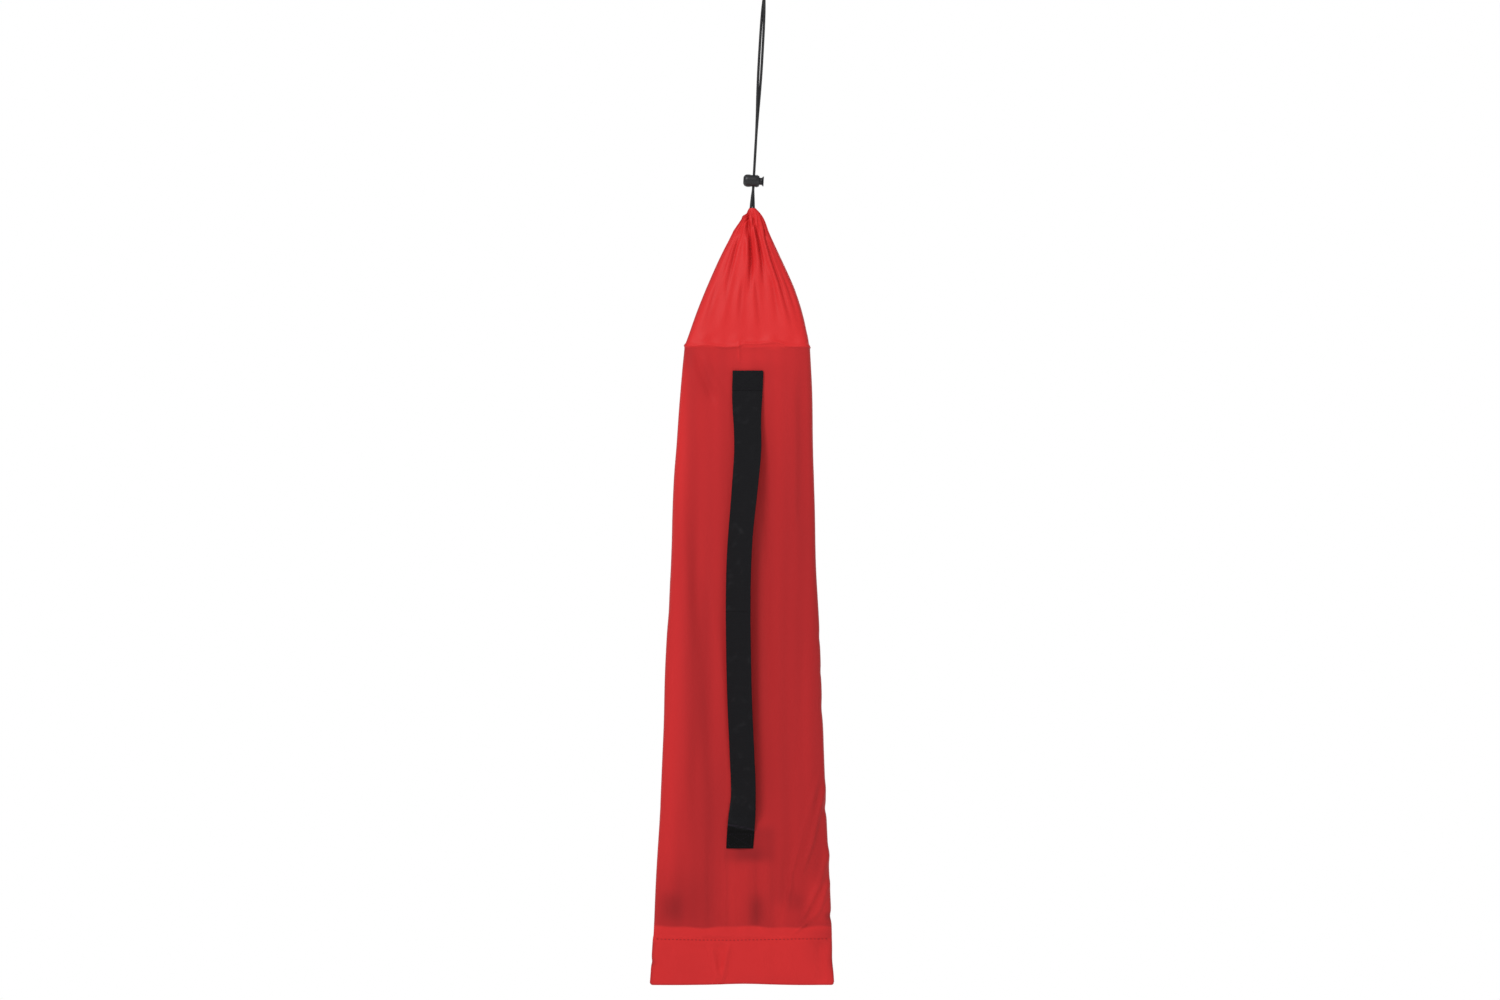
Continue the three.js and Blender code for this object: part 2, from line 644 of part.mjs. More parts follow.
for (let i = 0; i < POLE_COUNT; i += 1) {
  group.add(onPole(i, `pole_section_${i + 1}`, poleTube(), tube));
  group.add(onPole(i, `pole_plug_${i + 1}`, polePlug(), plastic));
}
group.add(named("rolled_sock", sock(), cloth));
group.add(named("sock_tie", sockTie(), webbing));

export default group;
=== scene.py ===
"""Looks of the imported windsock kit: a slim nylon drawstring bag hanging by its cord, with a spring cord
lock and a webbing carry strap. Sizes below are in millimetres until they go into a mesh."""

import math

import bmesh
import bpy
import numpy as np
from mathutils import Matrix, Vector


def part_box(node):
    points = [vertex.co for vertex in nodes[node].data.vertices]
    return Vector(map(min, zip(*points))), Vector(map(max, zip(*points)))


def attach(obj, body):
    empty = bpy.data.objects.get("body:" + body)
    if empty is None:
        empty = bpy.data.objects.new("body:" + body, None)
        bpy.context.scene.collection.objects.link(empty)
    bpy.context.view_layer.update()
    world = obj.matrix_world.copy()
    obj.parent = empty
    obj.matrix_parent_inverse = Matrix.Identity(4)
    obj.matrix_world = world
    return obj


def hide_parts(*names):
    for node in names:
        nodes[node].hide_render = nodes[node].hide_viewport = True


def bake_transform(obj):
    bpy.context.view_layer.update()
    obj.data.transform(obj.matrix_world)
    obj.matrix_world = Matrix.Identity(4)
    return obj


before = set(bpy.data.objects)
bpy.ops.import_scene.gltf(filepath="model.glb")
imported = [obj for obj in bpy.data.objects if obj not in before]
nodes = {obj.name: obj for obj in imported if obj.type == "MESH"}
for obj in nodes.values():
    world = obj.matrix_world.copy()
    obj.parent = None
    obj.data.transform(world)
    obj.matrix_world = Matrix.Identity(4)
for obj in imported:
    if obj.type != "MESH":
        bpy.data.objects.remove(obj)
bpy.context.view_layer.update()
MM = 0.001


def height(node, end):
    """Lowest (0) or highest (1) point of a CAD node, in millimetres."""
    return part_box(node)[end].z / MM


# ---- Sizes and places, from the frame and from the same values as the CAD ----

NECK_Z = height("neck_casing", 1)
CASING_FOOT_Z = height("front_panel", 1)
STITCH_Z = height("front_panel", 0)
HEM_FOOT_Z = height("bottom_hem", 0)
CONE_HEIGHT = 128.7
SHOULDER_Z = CASING_FOOT_Z - CONE_HEIGHT
BODY_HEIGHT = SHOULDER_Z - STITCH_Z
CONTENTS_END = 638.3  # shoulder to the feet of the poles

SHOULDER_WIDTH, SHOULDER_DEPTH, SHOULDER_X = 136.5, 66.0, -20.3
FLARE_LEFT, FLARE_RIGHT = 36.0, 24.0
FOOT_DEPTH, HEM_DEPTH, HEM_SPREAD = 35.0, 5.8, 3.0
CLOSING_Z, CLOSING_BEND = -980.0, 0.00092  # where the depth begins to close, and how fast
CASING_WIDTH, CASING_FOOT_X, NECK_X = 37.5, -16.0, -14.5
NECK_ROUNDNESS, NECK_HALF = 0.62, 3.5

STRAP_WIDTH, STRAP_THICKNESS, STRAP_STANDOFF = 30.0, 1.6, 10.5
STRAP_TOP_Z = SHOULDER_Z - 27.0
STRAP_LENGTH = 523.0
TOP_TAB, BOTTOM_TAB = 22.0, 18.0

CORD = 2.8
KNOT_FOOT = -24.0
CORD_RUN = 202.0
LOCK_X, KNOT_X = -13.0, -1.5
LOCK_Z = KNOT_FOOT - CORD_RUN
STRAND_SPACING = CORD + 0.3


# ---- Camera: straight at the front, level with the middle of the bag's view ----

VIEW_WIDTH = 1650.0
VIEW_MIDDLE = (-17.0, -577.0)
CAMERA_DISTANCE = 4600.0


def add_camera():
    data = bpy.data.cameras.new("camera")
    data.sensor_width = 36.0
    data.lens = 36.0 * CAMERA_DISTANCE / VIEW_WIDTH
    data.clip_end = 100.0
    camera = bpy.data.objects.new("camera", data)
    camera.location = (VIEW_MIDDLE[0] * MM, -CAMERA_DISTANCE * MM, VIEW_MIDDLE[1] * MM)
    camera.rotation_euler = (math.pi / 2, 0.0, 0.0)
    bpy.context.scene.collection.objects.link(camera)
    bpy.context.scene.camera = camera


add_camera()


# ---- Helpers ----


def smooth(t):
    """0 below 0, 1 above 1, and 3t^2 - 2t^3 between."""
    t = np.clip(t, 0.0, 1.0)
    return t * t * (3.0 - 2.0 * t)


def mix(a, b, t):
    return a + (b - a) * t


def bell(t):
    return np.exp(-t * t)


def add_mesh(name, points, faces, uv=None, tone=None):
    """A mesh object in metres from millimetre points, with a UV per point and a tone per point if given."""
    mesh = bpy.data.meshes.new(name)
    mesh.from_pydata((np.asarray(points) * MM).tolist(), [], np.asarray(faces).tolist())
    if uv is not None:
        layer = mesh.uv_layers.new(name="cloth")
        corner = np.zeros(len(mesh.loops), np.int32)
        mesh.loops.foreach_get("vertex_index", corner)
        layer.data.foreach_set("uv", np.asarray(uv, np.float32)[corner].ravel())
    if tone is not None:
        attribute = mesh.attributes.new("tone", "FLOAT", "POINT")
        attribute.data.foreach_set("value", np.asarray(tone, np.float32).ravel())
    mesh.polygons.foreach_set("use_smooth", [True] * len(mesh.polygons))
    mesh.update()
    made = bpy.data.objects.new(name, mesh)
    bpy.context.scene.collection.objects.link(made)
    return made


def grid_faces(rows, columns, round_columns=False, flip=False):
    """Quads between neighbouring rows and columns of a grid, the last column joined to the first if
    round."""
    r = np.arange(rows - 1)[:, None]
    c = np.arange(columns if round_columns else columns - 1)[None, :]
    d = (c + 1) % columns
    quads = np.stack([r * columns + c, r * columns + d, (r + 1) * columns + d, (r + 1) * columns + c], -1)
    quads = quads.reshape(-1, 4)
    return quads[:, ::-1] if flip else quads


def smooth_path(points, count):
    """A centripetal Catmull-Rom curve through the points, at count places evenly spaced along its
    length."""
    p = np.asarray(points, float)
    p = np.vstack([2 * p[0] - p[1], p, 2 * p[-1] - p[-2]])
    knots = np.concatenate([[0.0], np.cumsum(np.linalg.norm(np.diff(p, axis=0), axis=1) ** 0.5)])
    dense = []
    for i in range(1, len(p) - 2):
        t0, t1, t2, t3 = knots[i - 1 : i + 3]
        t = np.linspace(t1, t2, 24, endpoint=i == len(p) - 3)[:, None]
        a1 = (t1 - t) / (t1 - t0) * p[i - 1] + (t - t0) / (t1 - t0) * p[i]
        a2 = (t2 - t) / (t2 - t1) * p[i] + (t - t1) / (t2 - t1) * p[i + 1]
        a3 = (t3 - t) / (t3 - t2) * p[i + 1] + (t - t2) / (t3 - t2) * p[i + 2]
        b1 = (t2 - t) / (t2 - t0) * a1 + (t - t0) / (t2 - t0) * a2
        b2 = (t3 - t) / (t3 - t1) * a2 + (t - t1) / (t3 - t1) * a3
        dense.append((t2 - t) / (t2 - t1) * b1 + (t - t1) / (t2 - t1) * b2)
    dense = np.vstack(dense)
    run = np.concatenate([[0.0], np.cumsum(np.linalg.norm(np.diff(dense, axis=0), axis=1))])
    places = np.linspace(0.0, run[-1], count)
    return np.stack([np.interp(places, run, dense[:, k]) for k in range(3)], 1)


def tube(name, path, radius, sides=20, relief=None):
    """A round tube along a path, its ends rounded over. One side of its rings keeps as near to one
    direction as the path lets it. UV: turns round the tube, and millimetres along it."""
    path = np.asarray(path, float)
    tangent = np.gradient(path, axis=0)
    tangent /= np.linalg.norm(tangent, axis=1)[:, None]
    first = np.zeros_like(tangent)
    side = np.cross(tangent[0], [0.0, 1.0, 0.0])
    for i, direction in enumerate(tangent):
        side = side - direction * (side @ direction)
        side /= np.linalg.norm(side)
        first[i] = side
    second = np.cross(tangent, first)
    run = np.concatenate([[0.0], np.cumsum(np.linalg.norm(np.diff(path, axis=0), axis=1))])
    cap = np.radians([4.0, 30.0, 60.0])
    lead = radius * 0.6 * np.cos(cap)
    before = path[0] - tangent[0] * lead[:, None]
    after = path[-1] + tangent[-1] * lead[::-1, None]
    centre = np.vstack([before, path, after])
    share = np.concatenate([np.sin(cap), np.ones(len(path)), np.sin(cap)[::-1]])
    rows = np.clip(np.arange(len(centre)) - len(cap), 0, len(path) - 1)
    angle = np.linspace(0.0, 2 * math.pi, sides, endpoint=False)[None, :]
    reach = radius * share[:, None] * np.ones_like(angle)
    if relief is not None:
        reach = reach + relief(angle, run[rows][:, None]) * share[:, None]
    ring = np.cos(angle)[..., None] * first[rows][:, None, :]
    ring = ring + np.sin(angle)[..., None] * second[rows][:, None, :]
    points = centre[:, None, :] + reach[..., None] * ring
    uv = np.stack(np.broadcast_arrays(angle / (2 * math.pi), run[rows][:, None]), -1)
    faces = grid_faces(len(centre), sides, True, flip=True)
    return add_mesh(name, points.reshape(-1, 3), faces, uv.reshape(-1, 2))


def node_tree(name):
    material = bpy.data.materials.new(name)
    material.use_nodes = True
    tree = material.node_tree
    return material, tree, tree.nodes["Principled BSDF"]


def add_node(tree, kind, **settings):
    made = tree.nodes.new(kind)
    for key, value in settings.items():
        if key in made.inputs:
            made.inputs[key].default_value = value
        else:
            setattr(made, key, value)
    return made


def math_node(tree, operation, a, b=None):
    made = tree.nodes.new("ShaderNodeMath")
    made.operation = operation
    for socket, value in zip(made.inputs, (a, b)):
        if value is None:
            continue
        if isinstance(value, (int, float)):
            socket.default_value = value
        else:
            tree.links.new(value, socket)
    return made.outputs[0]


def mixed_colour(tree, factor, first, second):
    made = tree.nodes.new("ShaderNodeMix")
    made.data_type = "RGBA"
    for socket, value in ((made.inputs[0], factor), (made.inputs[6], first), (made.inputs[7], second)):
        if isinstance(value, (int, float, tuple)):
            socket.default_value = value
        else:
            tree.links.new(value, socket)
    return made.outputs[2]


def bump(tree, height_socket, strength, distance, normal=None):
    made = tree.nodes.new("ShaderNodeBump")
    made.inputs["Strength"].default_value = strength
    made.inputs["Distance"].default_value = distance
    tree.links.new(height_socket, made.inputs["Height"])
    if normal is not None:
        tree.links.new(normal, made.inputs["Normal"])
    return made.outputs["Normal"]


def noise(tree, vector, scale, detail=3.0):
    made = add_node(tree, "ShaderNodeTexNoise", Scale=scale, Detail=detail)
    tree.links.new(vector, made.inputs["Vector"])
    return made.outputs["Fac"]


def mapped(tree, vector, scale):
    made = tree.nodes.new("ShaderNodeMapping")
    made.inputs["Scale"].default_value = scale
    tree.links.new(vector, made.inputs["Vector"])
    return made.outputs["Vector"]


def ramp(tree, factor, low, high):
    """0 below low, 1 above high, and a smooth step between."""
    made = add_node(tree, "ShaderNodeMapRange", interpolation_type="SMOOTHSTEP")
    tree.links.new(factor, made.inputs["Value"])
    made.inputs["From Min"].default_value = low
    made.inputs["From Max"].default_value = high
    return made.outputs["Result"]


# ---- Materials ----


def weave_height(tree, uv, across, along):
    """Plain weave from two sets of threads: the larger of |sin| of each coordinate, one set lifted over the
    other in turn."""
    split = tree.nodes.new("ShaderNodeSeparateXYZ")
    tree.links.new(uv, split.inputs[0])
    u = math_node(tree, "MULTIPLY", split.outputs["X"], math.pi / across)
    v = math_node(tree, "MULTIPLY", split.outputs["Y"], math.pi / along)
    warp = math_node(tree, "ABSOLUTE", math_node(tree, "SINE", u))
    weft = math_node(tree, "ABSOLUTE", math_node(tree, "SINE", v))
    turn = math_node(tree, "MULTIPLY", math_node(tree, "SINE", u), math_node(tree, "SINE", v))
    lifted = math_node(tree, "MULTIPLY", turn, 0.35)
    return math_node(tree, "ADD", math_node(tree, "MAXIMUM", warp, weft), lifted)


def bag_nylon():
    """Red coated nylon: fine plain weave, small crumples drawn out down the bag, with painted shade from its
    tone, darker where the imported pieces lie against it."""
    material, tree, shader = node_tree("bag_nylon")
    uv = add_node(tree, "ShaderNodeUVMap", uv_map="cloth").outputs["UV"]
    place = tree.nodes.new("ShaderNodeTexCoord").outputs["Object"]
    tone = add_node(tree, "ShaderNodeAttribute", attribute_name="tone").outputs["Fac"]
    drawn = mapped(tree, place, (1.0, 1.0, 0.25))
    patchy = noise(tree, drawn, 22.0, 4.0)
    base = mixed_colour(tree, patchy, (0.62, 0.019, 0.020, 1.0), (0.68, 0.023, 0.024, 1.0))
    # The tone mixes in painted shade, and the darker thread of the stitches sewn into the cloth.
    dark = mixed_colour(tree, tone, base, (0.24, 0.006, 0.009, 1.0))
    tree.links.new(dark, shader.inputs["Base Color"])
    shader.inputs["Roughness"].default_value = 0.55
    shader.inputs["Specular IOR Level"].default_value = 0.22
    shader.inputs["Sheen Weight"].default_value = 0.04
    shader.inputs["Sheen Roughness"].default_value = 0.4
    shader.inputs["Sheen Tint"].default_value = (1.0, 0.3, 0.28, 1.0)
    crumple = noise(tree, mapped(tree, place, (1.0, 1.0, 0.35)), 60.0, 4.0)
    soft = bump(tree, crumple, 0.22, 0.002)
    tree.links.new(bump(tree, weave_height(tree, uv, 0.5, 0.5), 0.18, 0.00012, soft), shader.inputs["Normal"])
    return material


def webbing(name, rib=1.6):
    """Black woven webbing: ribs across it, warp threads along it, dull, with faint grey wear, painted shade
    on the lower tab and a painted highlight along its crease.
    """
    material, tree, shader = node_tree(name)
    uv = add_node(tree, "ShaderNodeUVMap", uv_map="cloth").outputs["UV"]
    place = tree.nodes.new("ShaderNodeTexCoord").outputs["Object"]
    weave = weave_height(tree, uv, 1.0, rib)
    dust = noise(tree, place, 90.0, 5.0)
    dark, pale = (0.004, 0.004, 0.005, 1.0), (0.009, 0.009, 0.011, 1.0)
    thread = mixed_colour(tree, ramp(tree, weave, 0.5, 1.3), dark, pale)
    worn = mixed_colour(tree, ramp(tree, dust, 0.55, 0.85), thread, (0.016, 0.016, 0.018, 1.0))
    tone = add_node(tree, "ShaderNodeAttribute", attribute_name="tone").outputs["Fac"]
    # Painted shade on the lower tab where the tone is high; where it is below 0, the paler stitch thread and
    # a painted highlight along the crease.
    crease_dent_and_painted_tab_shade = mixed_colour(tree, ramp(tree, tone, 0.5, 1.0), worn, (0.0012, 0.0010, 0.0012, 1.0))
    thread_colour_and_painted_highlight = mixed_colour(tree, ramp(tree, tone, 0.0, -1.0), crease_dent_and_painted_tab_shade, (0.026, 0.018, 0.030, 1.0))
    tree.links.new(thread_colour_and_painted_highlight, shader.inputs["Base Color"])
    shader.inputs["Roughness"].default_value = 0.8
    shader.inputs["Specular IOR Level"].default_value = 0.16
    tree.links.new(bump(tree, weave, 0.6, 0.0004), shader.inputs["Normal"])
    return material


def braided_cord():
    """Black braided cord: two sets of strands that wind round it in opposite ways."""
    material, tree, shader = node_tree("braided_cord")
    uv = add_node(tree, "ShaderNodeUVMap", uv_map="cloth").outputs["UV"]
    split = tree.nodes.new("ShaderNodeSeparateXYZ")
    tree.links.new(uv, split.inputs[0])
    turns = math_node(tree, "MULTIPLY", split.outputs["X"], 8 * math.pi)
    along = math_node(tree, "MULTIPLY", split.outputs["Y"], math.pi / 1.6)
    left = math_node(tree, "ABSOLUTE", math_node(tree, "SINE", math_node(tree, "ADD", turns, along)))
    right = math_node(tree, "ABSOLUTE", math_node(tree, "SINE", math_node(tree, "SUBTRACT", turns, along)))
    braid = math_node(tree, "MAXIMUM", left, right)
    dark, pale = (0.008, 0.008, 0.009, 1.0), (0.026, 0.026, 0.028, 1.0)
    lit = mixed_colour(tree, ramp(tree, braid, 0.6, 1.0), dark, pale)
    tree.links.new(lit, shader.inputs["Base Color"])
    shader.inputs["Roughness"].default_value = 0.65
    shader.inputs["Specular IOR Level"].default_value = 0.3
    tree.links.new(bump(tree, braid, 0.7, 0.0004), shader.inputs["Normal"])
    return material


def moulded(name, colour, roughness):
    """Moulded plastic: fine spark-eroded grain and slightly uneven gloss."""
    material, tree, shader = node_tree(name)
    place = tree.nodes.new("ShaderNodeTexCoord").outputs["Object"]
    grain = noise(tree, place, 2600.0, 2.0)
    cloud = noise(tree, place, 120.0, 3.0)
    darker = tuple(0.7 * c for c in colour[:3]) + (1.0,)
    tree.links.new(mixed_colour(tree, cloud, darker, colour), shader.inputs["Base Color"])
    uneven = math_node(tree, "ADD", math_node(tree, "MULTIPLY", cloud, 0.16), roughness - 0.08)
    tree.links.new(uneven, shader.inputs["Roughness"])
    tree.links.new(bump(tree, grain, 0.25, 0.00008), shader.inputs["Normal"])
    return material


def metal(name, colour, roughness, streak):
    """Drawn metal: fine lines along the piece and slightly uneven gloss."""
    material, tree, shader = node_tree(name)
    place = tree.nodes.new("ShaderNodeTexCoord").outputs["Object"]
    lines = noise(tree, mapped(tree, place, streak), 400.0, 3.0)
    darker = tuple(0.8 * c for c in colour[:3]) + (1.0,)
    tree.links.new(mixed_colour(tree, lines, darker, colour), shader.inputs["Base Color"])
    shader.inputs["Metallic"].default_value = 1.0
    uneven = math_node(tree, "ADD", math_node(tree, "MULTIPLY", lines, 0.2), roughness - 0.1)
    tree.links.new(uneven, shader.inputs["Roughness"])
    tree.links.new(bump(tree, lines, 0.1, 0.0001), shader.inputs["Normal"])
    return material


def sock_cloth():
    """Orange ripstop cloth: fine weave with a thicker thread every few millimetres, creased by the
    rolling, with painted shade in the creases' hollows."""
    material, tree, shader = node_tree("sock_cloth")
    place = tree.nodes.new("ShaderNodeTexCoord").outputs["Object"]
    creases = noise(tree, mapped(tree, place, (1.0, 1.0, 0.2)), 45.0, 4.0)
    weave = weave_height(tree, mapped(tree, place, (1000.0, 1000.0, 1000.0)), 5.0, 5.0)
    # Painted shade: the colour is darker where the crease bump is low.
    base = mixed_colour(tree, creases, (0.62, 0.11, 0.02, 1.0), (0.80, 0.19, 0.04, 1.0))
    tree.links.new(base, shader.inputs["Base Color"])
    shader.inputs["Roughness"].default_value = 0.7
    soft = bump(tree, creases, 0.5, 0.002)
    tree.links.new(bump(tree, weave, 0.2, 0.0002, soft), shader.inputs["Normal"])
    return material


def woven(name, first, second, pitch, roughness):
    """Plain weave on the object's own coordinates, for the pieces that keep their CAD shape."""
    material, tree, shader = node_tree(name)
    place = tree.nodes.new("ShaderNodeTexCoord").outputs["Object"]
    turned_place = tree.nodes.new("ShaderNodeMapping")
    turned_place.inputs["Rotation"].default_value = (math.pi / 2, 0.0, 0.0)
    turned_place.inputs["Scale"].default_value = (1000.0, 1000.0, 1000.0)
    tree.links.new(place, turned_place.inputs["Vector"])
    weave = weave_height(tree, turned_place.outputs["Vector"], pitch, pitch)
    patchy = noise(tree, place, 70.0, 4.0)
    tree.links.new(mixed_colour(tree, patchy, first, second), shader.inputs["Base Color"])
    shader.inputs["Roughness"].default_value = roughness
    shader.inputs["Specular IOR Level"].default_value = 0.2
    soft = bump(tree, patchy, 0.3, 0.0015)
    tree.links.new(bump(tree, weave, 0.4, 0.0003, soft), shader.inputs["Normal"])
    return material


NYLON = bag_nylon()
PATCH_CLOTH = woven("patch_cloth", (0.30, 0.010, 0.012, 1.0), (0.40, 0.014, 0.016, 1.0), 0.6, 0.6)
TIE_TAPE = woven("tie_tape", (0.006, 0.006, 0.007, 1.0), (0.014, 0.014, 0.015, 1.0), 1.2, 0.8)
HIDDEN_CORD = woven("hidden_cord", (0.008, 0.008, 0.009, 1.0), (0.022, 0.022, 0.024, 1.0), 1.3, 0.65)
WEBBING = webbing("strap_webbing")
BRAID = braided_cord()
LOCK_PLASTIC = moulded("lock_plastic", (0.0085, 0.0083, 0.0105, 1.0), 0.42)
PLUG_PLASTIC = moulded("plug_plastic", (0.02, 0.02, 0.022, 1.0), 0.55)
SPRING_STEEL = metal("spring_steel", (0.62, 0.63, 0.65, 1.0), 0.3, (1.0, 1.0, 1.0))
POLE_METAL = metal("pole_metal", (0.66, 0.67, 0.69, 1.0), 0.35, (1.0, 1.0, 0.02))
SOCK_CLOTH = sock_cloth()


def dress(piece, material, body, slot, *replaced):
    """Gives a piece its one material and body, and hides the CAD nodes it stands for; slot is not used."""
    piece.data.materials.clear()
    piece.data.materials.append(material)
    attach(piece, body)
    if replaced:
        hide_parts(*replaced)
    return piece


# ---- Cord: the two strands, the knot and the eye ----


def cord_x(z):
    return mix(LOCK_X, KNOT_X, (z - LOCK_Z) / CORD_RUN)


# Height, extra distance between the strands and the turn of the pair, where 90 degrees puts the first
# strand in front.
PAIR = [
    (KNOT_FOOT - 0.3, 0.0, -80),
    (KNOT_FOOT - 14, 0.0, -45),
    (KNOT_FOOT - 32, 0.0, -12),
    (KNOT_FOOT - 60, 0.3, 4),
    (KNOT_FOOT - 86, 0.2, 10),
    (KNOT_FOOT - 108, 0.0, 40),
    (KNOT_FOOT - 130, 0.0, 72),
    (KNOT_FOOT - 155, 0.0, 90),
    (LOCK_Z + 12, 0.0, 90),
    (LOCK_Z, 0.0, 90),
    (LOCK_Z - 9, 0.0, 90),
    (LOCK_Z - 18, 0.0, 62),
    (NECK_Z, 0.3, 24),
    (NECK_Z - 7, 0.6, 8),
]


def strand_path(side):
    points = []
    for z, extra, turn in PAIR:
        x = NECK_X if z <= NECK_Z else cord_x(z)
        reach = side * (STRAND_SPACING + extra) / 2
        angle = math.radians(turn)
        points.append((x - reach * math.cos(angle), -reach * math.sin(angle), z))
    return smooth_path(points, 260)


def braid_relief(angle, run):
    """Lumps of the braid's crossings, so that the cord's edge isn't a bare line."""
    return 0.05 * np.cos(4 * angle + math.pi * run / 1.6) * np.cos(4 * angle - math.pi * run / 1.6)


def add_cord():
    eye_points = [
        (-2.0, 0.0, -13.7),
        (-3.6, 0.0, -9.7),
        (-4.6, 0.0, -4.7),
        (-3.0, 0.0, 0.5),
        (0.0, 0.0, 1.5),
        (3.0, 0.0, 0.5),
        (4.6, 0.0, -4.7),
        (3.2, 0.0, -9.7),
        (1.4, 0.0, -13.7),
    ]
    eye = tube("cord_eye_braid", smooth_path(eye_points, 80), CORD / 2, 20, braid_relief)
    dress(eye, BRAID, "bag", "cord", "cord_eye")
    turn = np.linspace(0.0, 1.0, 220)
    wraps = 2 * math.pi * 2.6 * turn
    middle = (height("cord_knot", 0) + height("cord_knot", 1)) / 2
    swell = np.sin(math.pi * turn) ** 0.35
    lump = np.stack(
        [
            mix(KNOT_X, 0.0, 0.3) + (0.9 + 2.1 * swell) * np.cos(wraps),
            (0.9 + 2.1 * swell) * np.sin(wraps),
            middle + 7.2 * (0.5 - turn) + 1.1 * np.sin(2 * wraps / 2.6 * 2),
        ],
        1,
    )
    knot = tube("cord_knot_turns", lump, CORD / 2 + 0.05, 20, braid_relief)
    dress(knot, BRAID, "bag", "cord", "cord_knot")
    for side, name, node in (
        (1, "strand_first", "drawstring_first"),
        (-1, "strand_second", "drawstring_second"),
    ):
        path = strand_path(side)
        strand = tube(name, path, CORD / 2, 20, braid_relief)
        dress(strand, BRAID, "bag", "cord", node)


add_cord()


# ---- The bag's surface ----

# Small puckers of the side seams and their slow waves: height, depth and reach, outwards where the depth
# is below 0.
RIGHT_NOTCHES = [
    (-455, -1.7, 50),
    (-650, 1.6, 50),
    (-728, 0.7, 7),
    (-766, 0.6, 6),
    (-806, 0.9, 10),
    (-916, 1.3, 6),
    (-1034, 1.5, 5),
    (-1050, -1.3, 70),
    (-1083, 0.9, 14),
]
LEFT_NOTCHES = [
    (-520, 0.5, 22),
    (-660, 1.2, 60),
    (-700, 0.5, 16),
    (-820, 0.8, 40),
    (-905, 2.2, 90),
    (-1060, 1.1, 60),
    (-1085, 0.8, 4),
]


def section(z, front=True):
    """Middle, half width, half depth and squareness of the bag at each height: a superellipse that goes
    from the gathered neck to a box at the shoulder and a lens at the foot. The front slopes evenly from
    the neck to the shoulder. Below CLOSING_Z the depth falls by CLOSING_BEND d^2, with d the distance
    below it, and the hem closes in a straight line to its foot."""
    g = np.clip((CASING_FOOT_Z - z) / CONE_HEIGHT, 0.0, 1.0)
    half_neck = CASING_WIDTH / 2
    swell = 0.06 * np.sin(math.pi * g)
    cone_left = mix(CASING_FOOT_X - half_neck, SHOULDER_X - SHOULDER_WIDTH / 2, g + swell)
    bulge = 0.13 * np.sin(math.pi * g**1.35)
    cone_right = mix(CASING_FOOT_X + half_neck, SHOULDER_X + SHOULDER_WIDTH / 2, g + bulge)
    cone_depth = mix(half_neck * NECK_ROUNDNESS, SHOULDER_DEPTH / 2, g + swell)

    c = np.clip((z - CASING_FOOT_Z) / (NECK_Z - CASING_FOOT_Z), 0.0, 1.0)
    neck_left = mix(CASING_FOOT_X - half_neck, NECK_X - NECK_HALF, c) + 1.4 * bell((z - NECK_Z + 7.5) / 4.2)
    neck_right = mix(CASING_FOOT_X + half_neck, NECK_X + NECK_HALF, 0.55 * c + 0.45 * c**3)
    neck_depth = (neck_right - neck_left) / 2 * mix(NECK_ROUNDNESS, 0.8, c)

    f = np.clip((SHOULDER_Z - z) / BODY_HEIGHT, 0.0, 1.0)
    body_left = SHOULDER_X - SHOULDER_WIDTH / 2 - FLARE_LEFT * (0.16 * (1.0 - np.exp(-8.5 * f)) + 0.84 * f)
    body_right = SHOULDER_X + SHOULDER_WIDTH / 2 + FLARE_RIGHT * f
    for place, deep, reach in RIGHT_NOTCHES:
        body_right = body_right - deep * bell((z - place) / reach)
    for place, deep, reach in LEFT_NOTCHES:
        body_left = body_left + deep * bell((z - place) / reach)
    foot_share = (SHOULDER_Z - np.maximum(z, STITCH_Z)) / CONTENTS_END
    bend = CLOSING_BEND * np.maximum(CLOSING_Z - np.maximum(z, STITCH_Z), 0.0) ** 2
    body_depth = mix(SHOULDER_DEPTH / 2, FOOT_DEPTH / 2, foot_share) - bend
    h = np.clip((STITCH_Z - z) / (STITCH_Z - HEM_FOOT_Z), 0.0, 1.0)
    body_left = body_left - HEM_SPREAD * h
    body_right = body_right + HEM_SPREAD * h
    body_depth = mix(body_depth, 0.3 * HEM_DEPTH, h)

    on_body = z < SHOULDER_Z
    on_neck = z > CASING_FOOT_Z
    left = np.where(on_body, body_left, np.where(on_neck, neck_left, cone_left))
    right = np.where(on_body, body_right, np.where(on_neck, neck_right, cone_right))
    depth = np.where(on_neck, neck_depth, cone_depth)
    if front:
        depth = mix(3.4, SHOULDER_DEPTH / 2, (NECK_Z - z) / (NECK_Z - SHOULDER_Z))
    depth = np.where(on_body, body_depth, depth)
    square = np.where(on_body, mix(8.0, 6.0, np.minimum(f / 0.9, 1.0)), 2.0 + 3.4 * g + 2.6 * g * g)
    return (left + right) / 2, (right - left) / 2, depth, square


def line_place(z, line):
    """Sideways place of a line of (x, z) points at each height, and how far along it each height is,
    from 0 to 1."""
    x, down = np.array(line, float).T
    return np.interp(-z, -down, x), (down[0] - z) / (down[0] - down[-1])


def fold(x, z, line, width, depth):
    """A soft fold along a line: depth times a bell across it, growing in and dying out towards its ends."""
    place, along = line_place(z, line)
    window = smooth(along / 0.25) * smooth((1.0 - along) / 0.25)
    return depth * window * bell((x - place) / width)


def crease(x, z, line, width, depth):
    """A crease along a line: a narrow valley with a broad ridge beside it, on the left where the width
    is above 0 and on the right where it is below. It starts at once and runs out slowly."""
    place, along = line_place(z, line)
    across = (x - place) / (width * (0.55 + 0.95 * np.clip(along, 0.0, 1.0)))
    window = smooth(along / 0.3) * smooth((1.0 - along) / 0.6)
    return depth * window * (0.8 * bell((across + 2.0) / 1.7) - bell(across / 0.9))


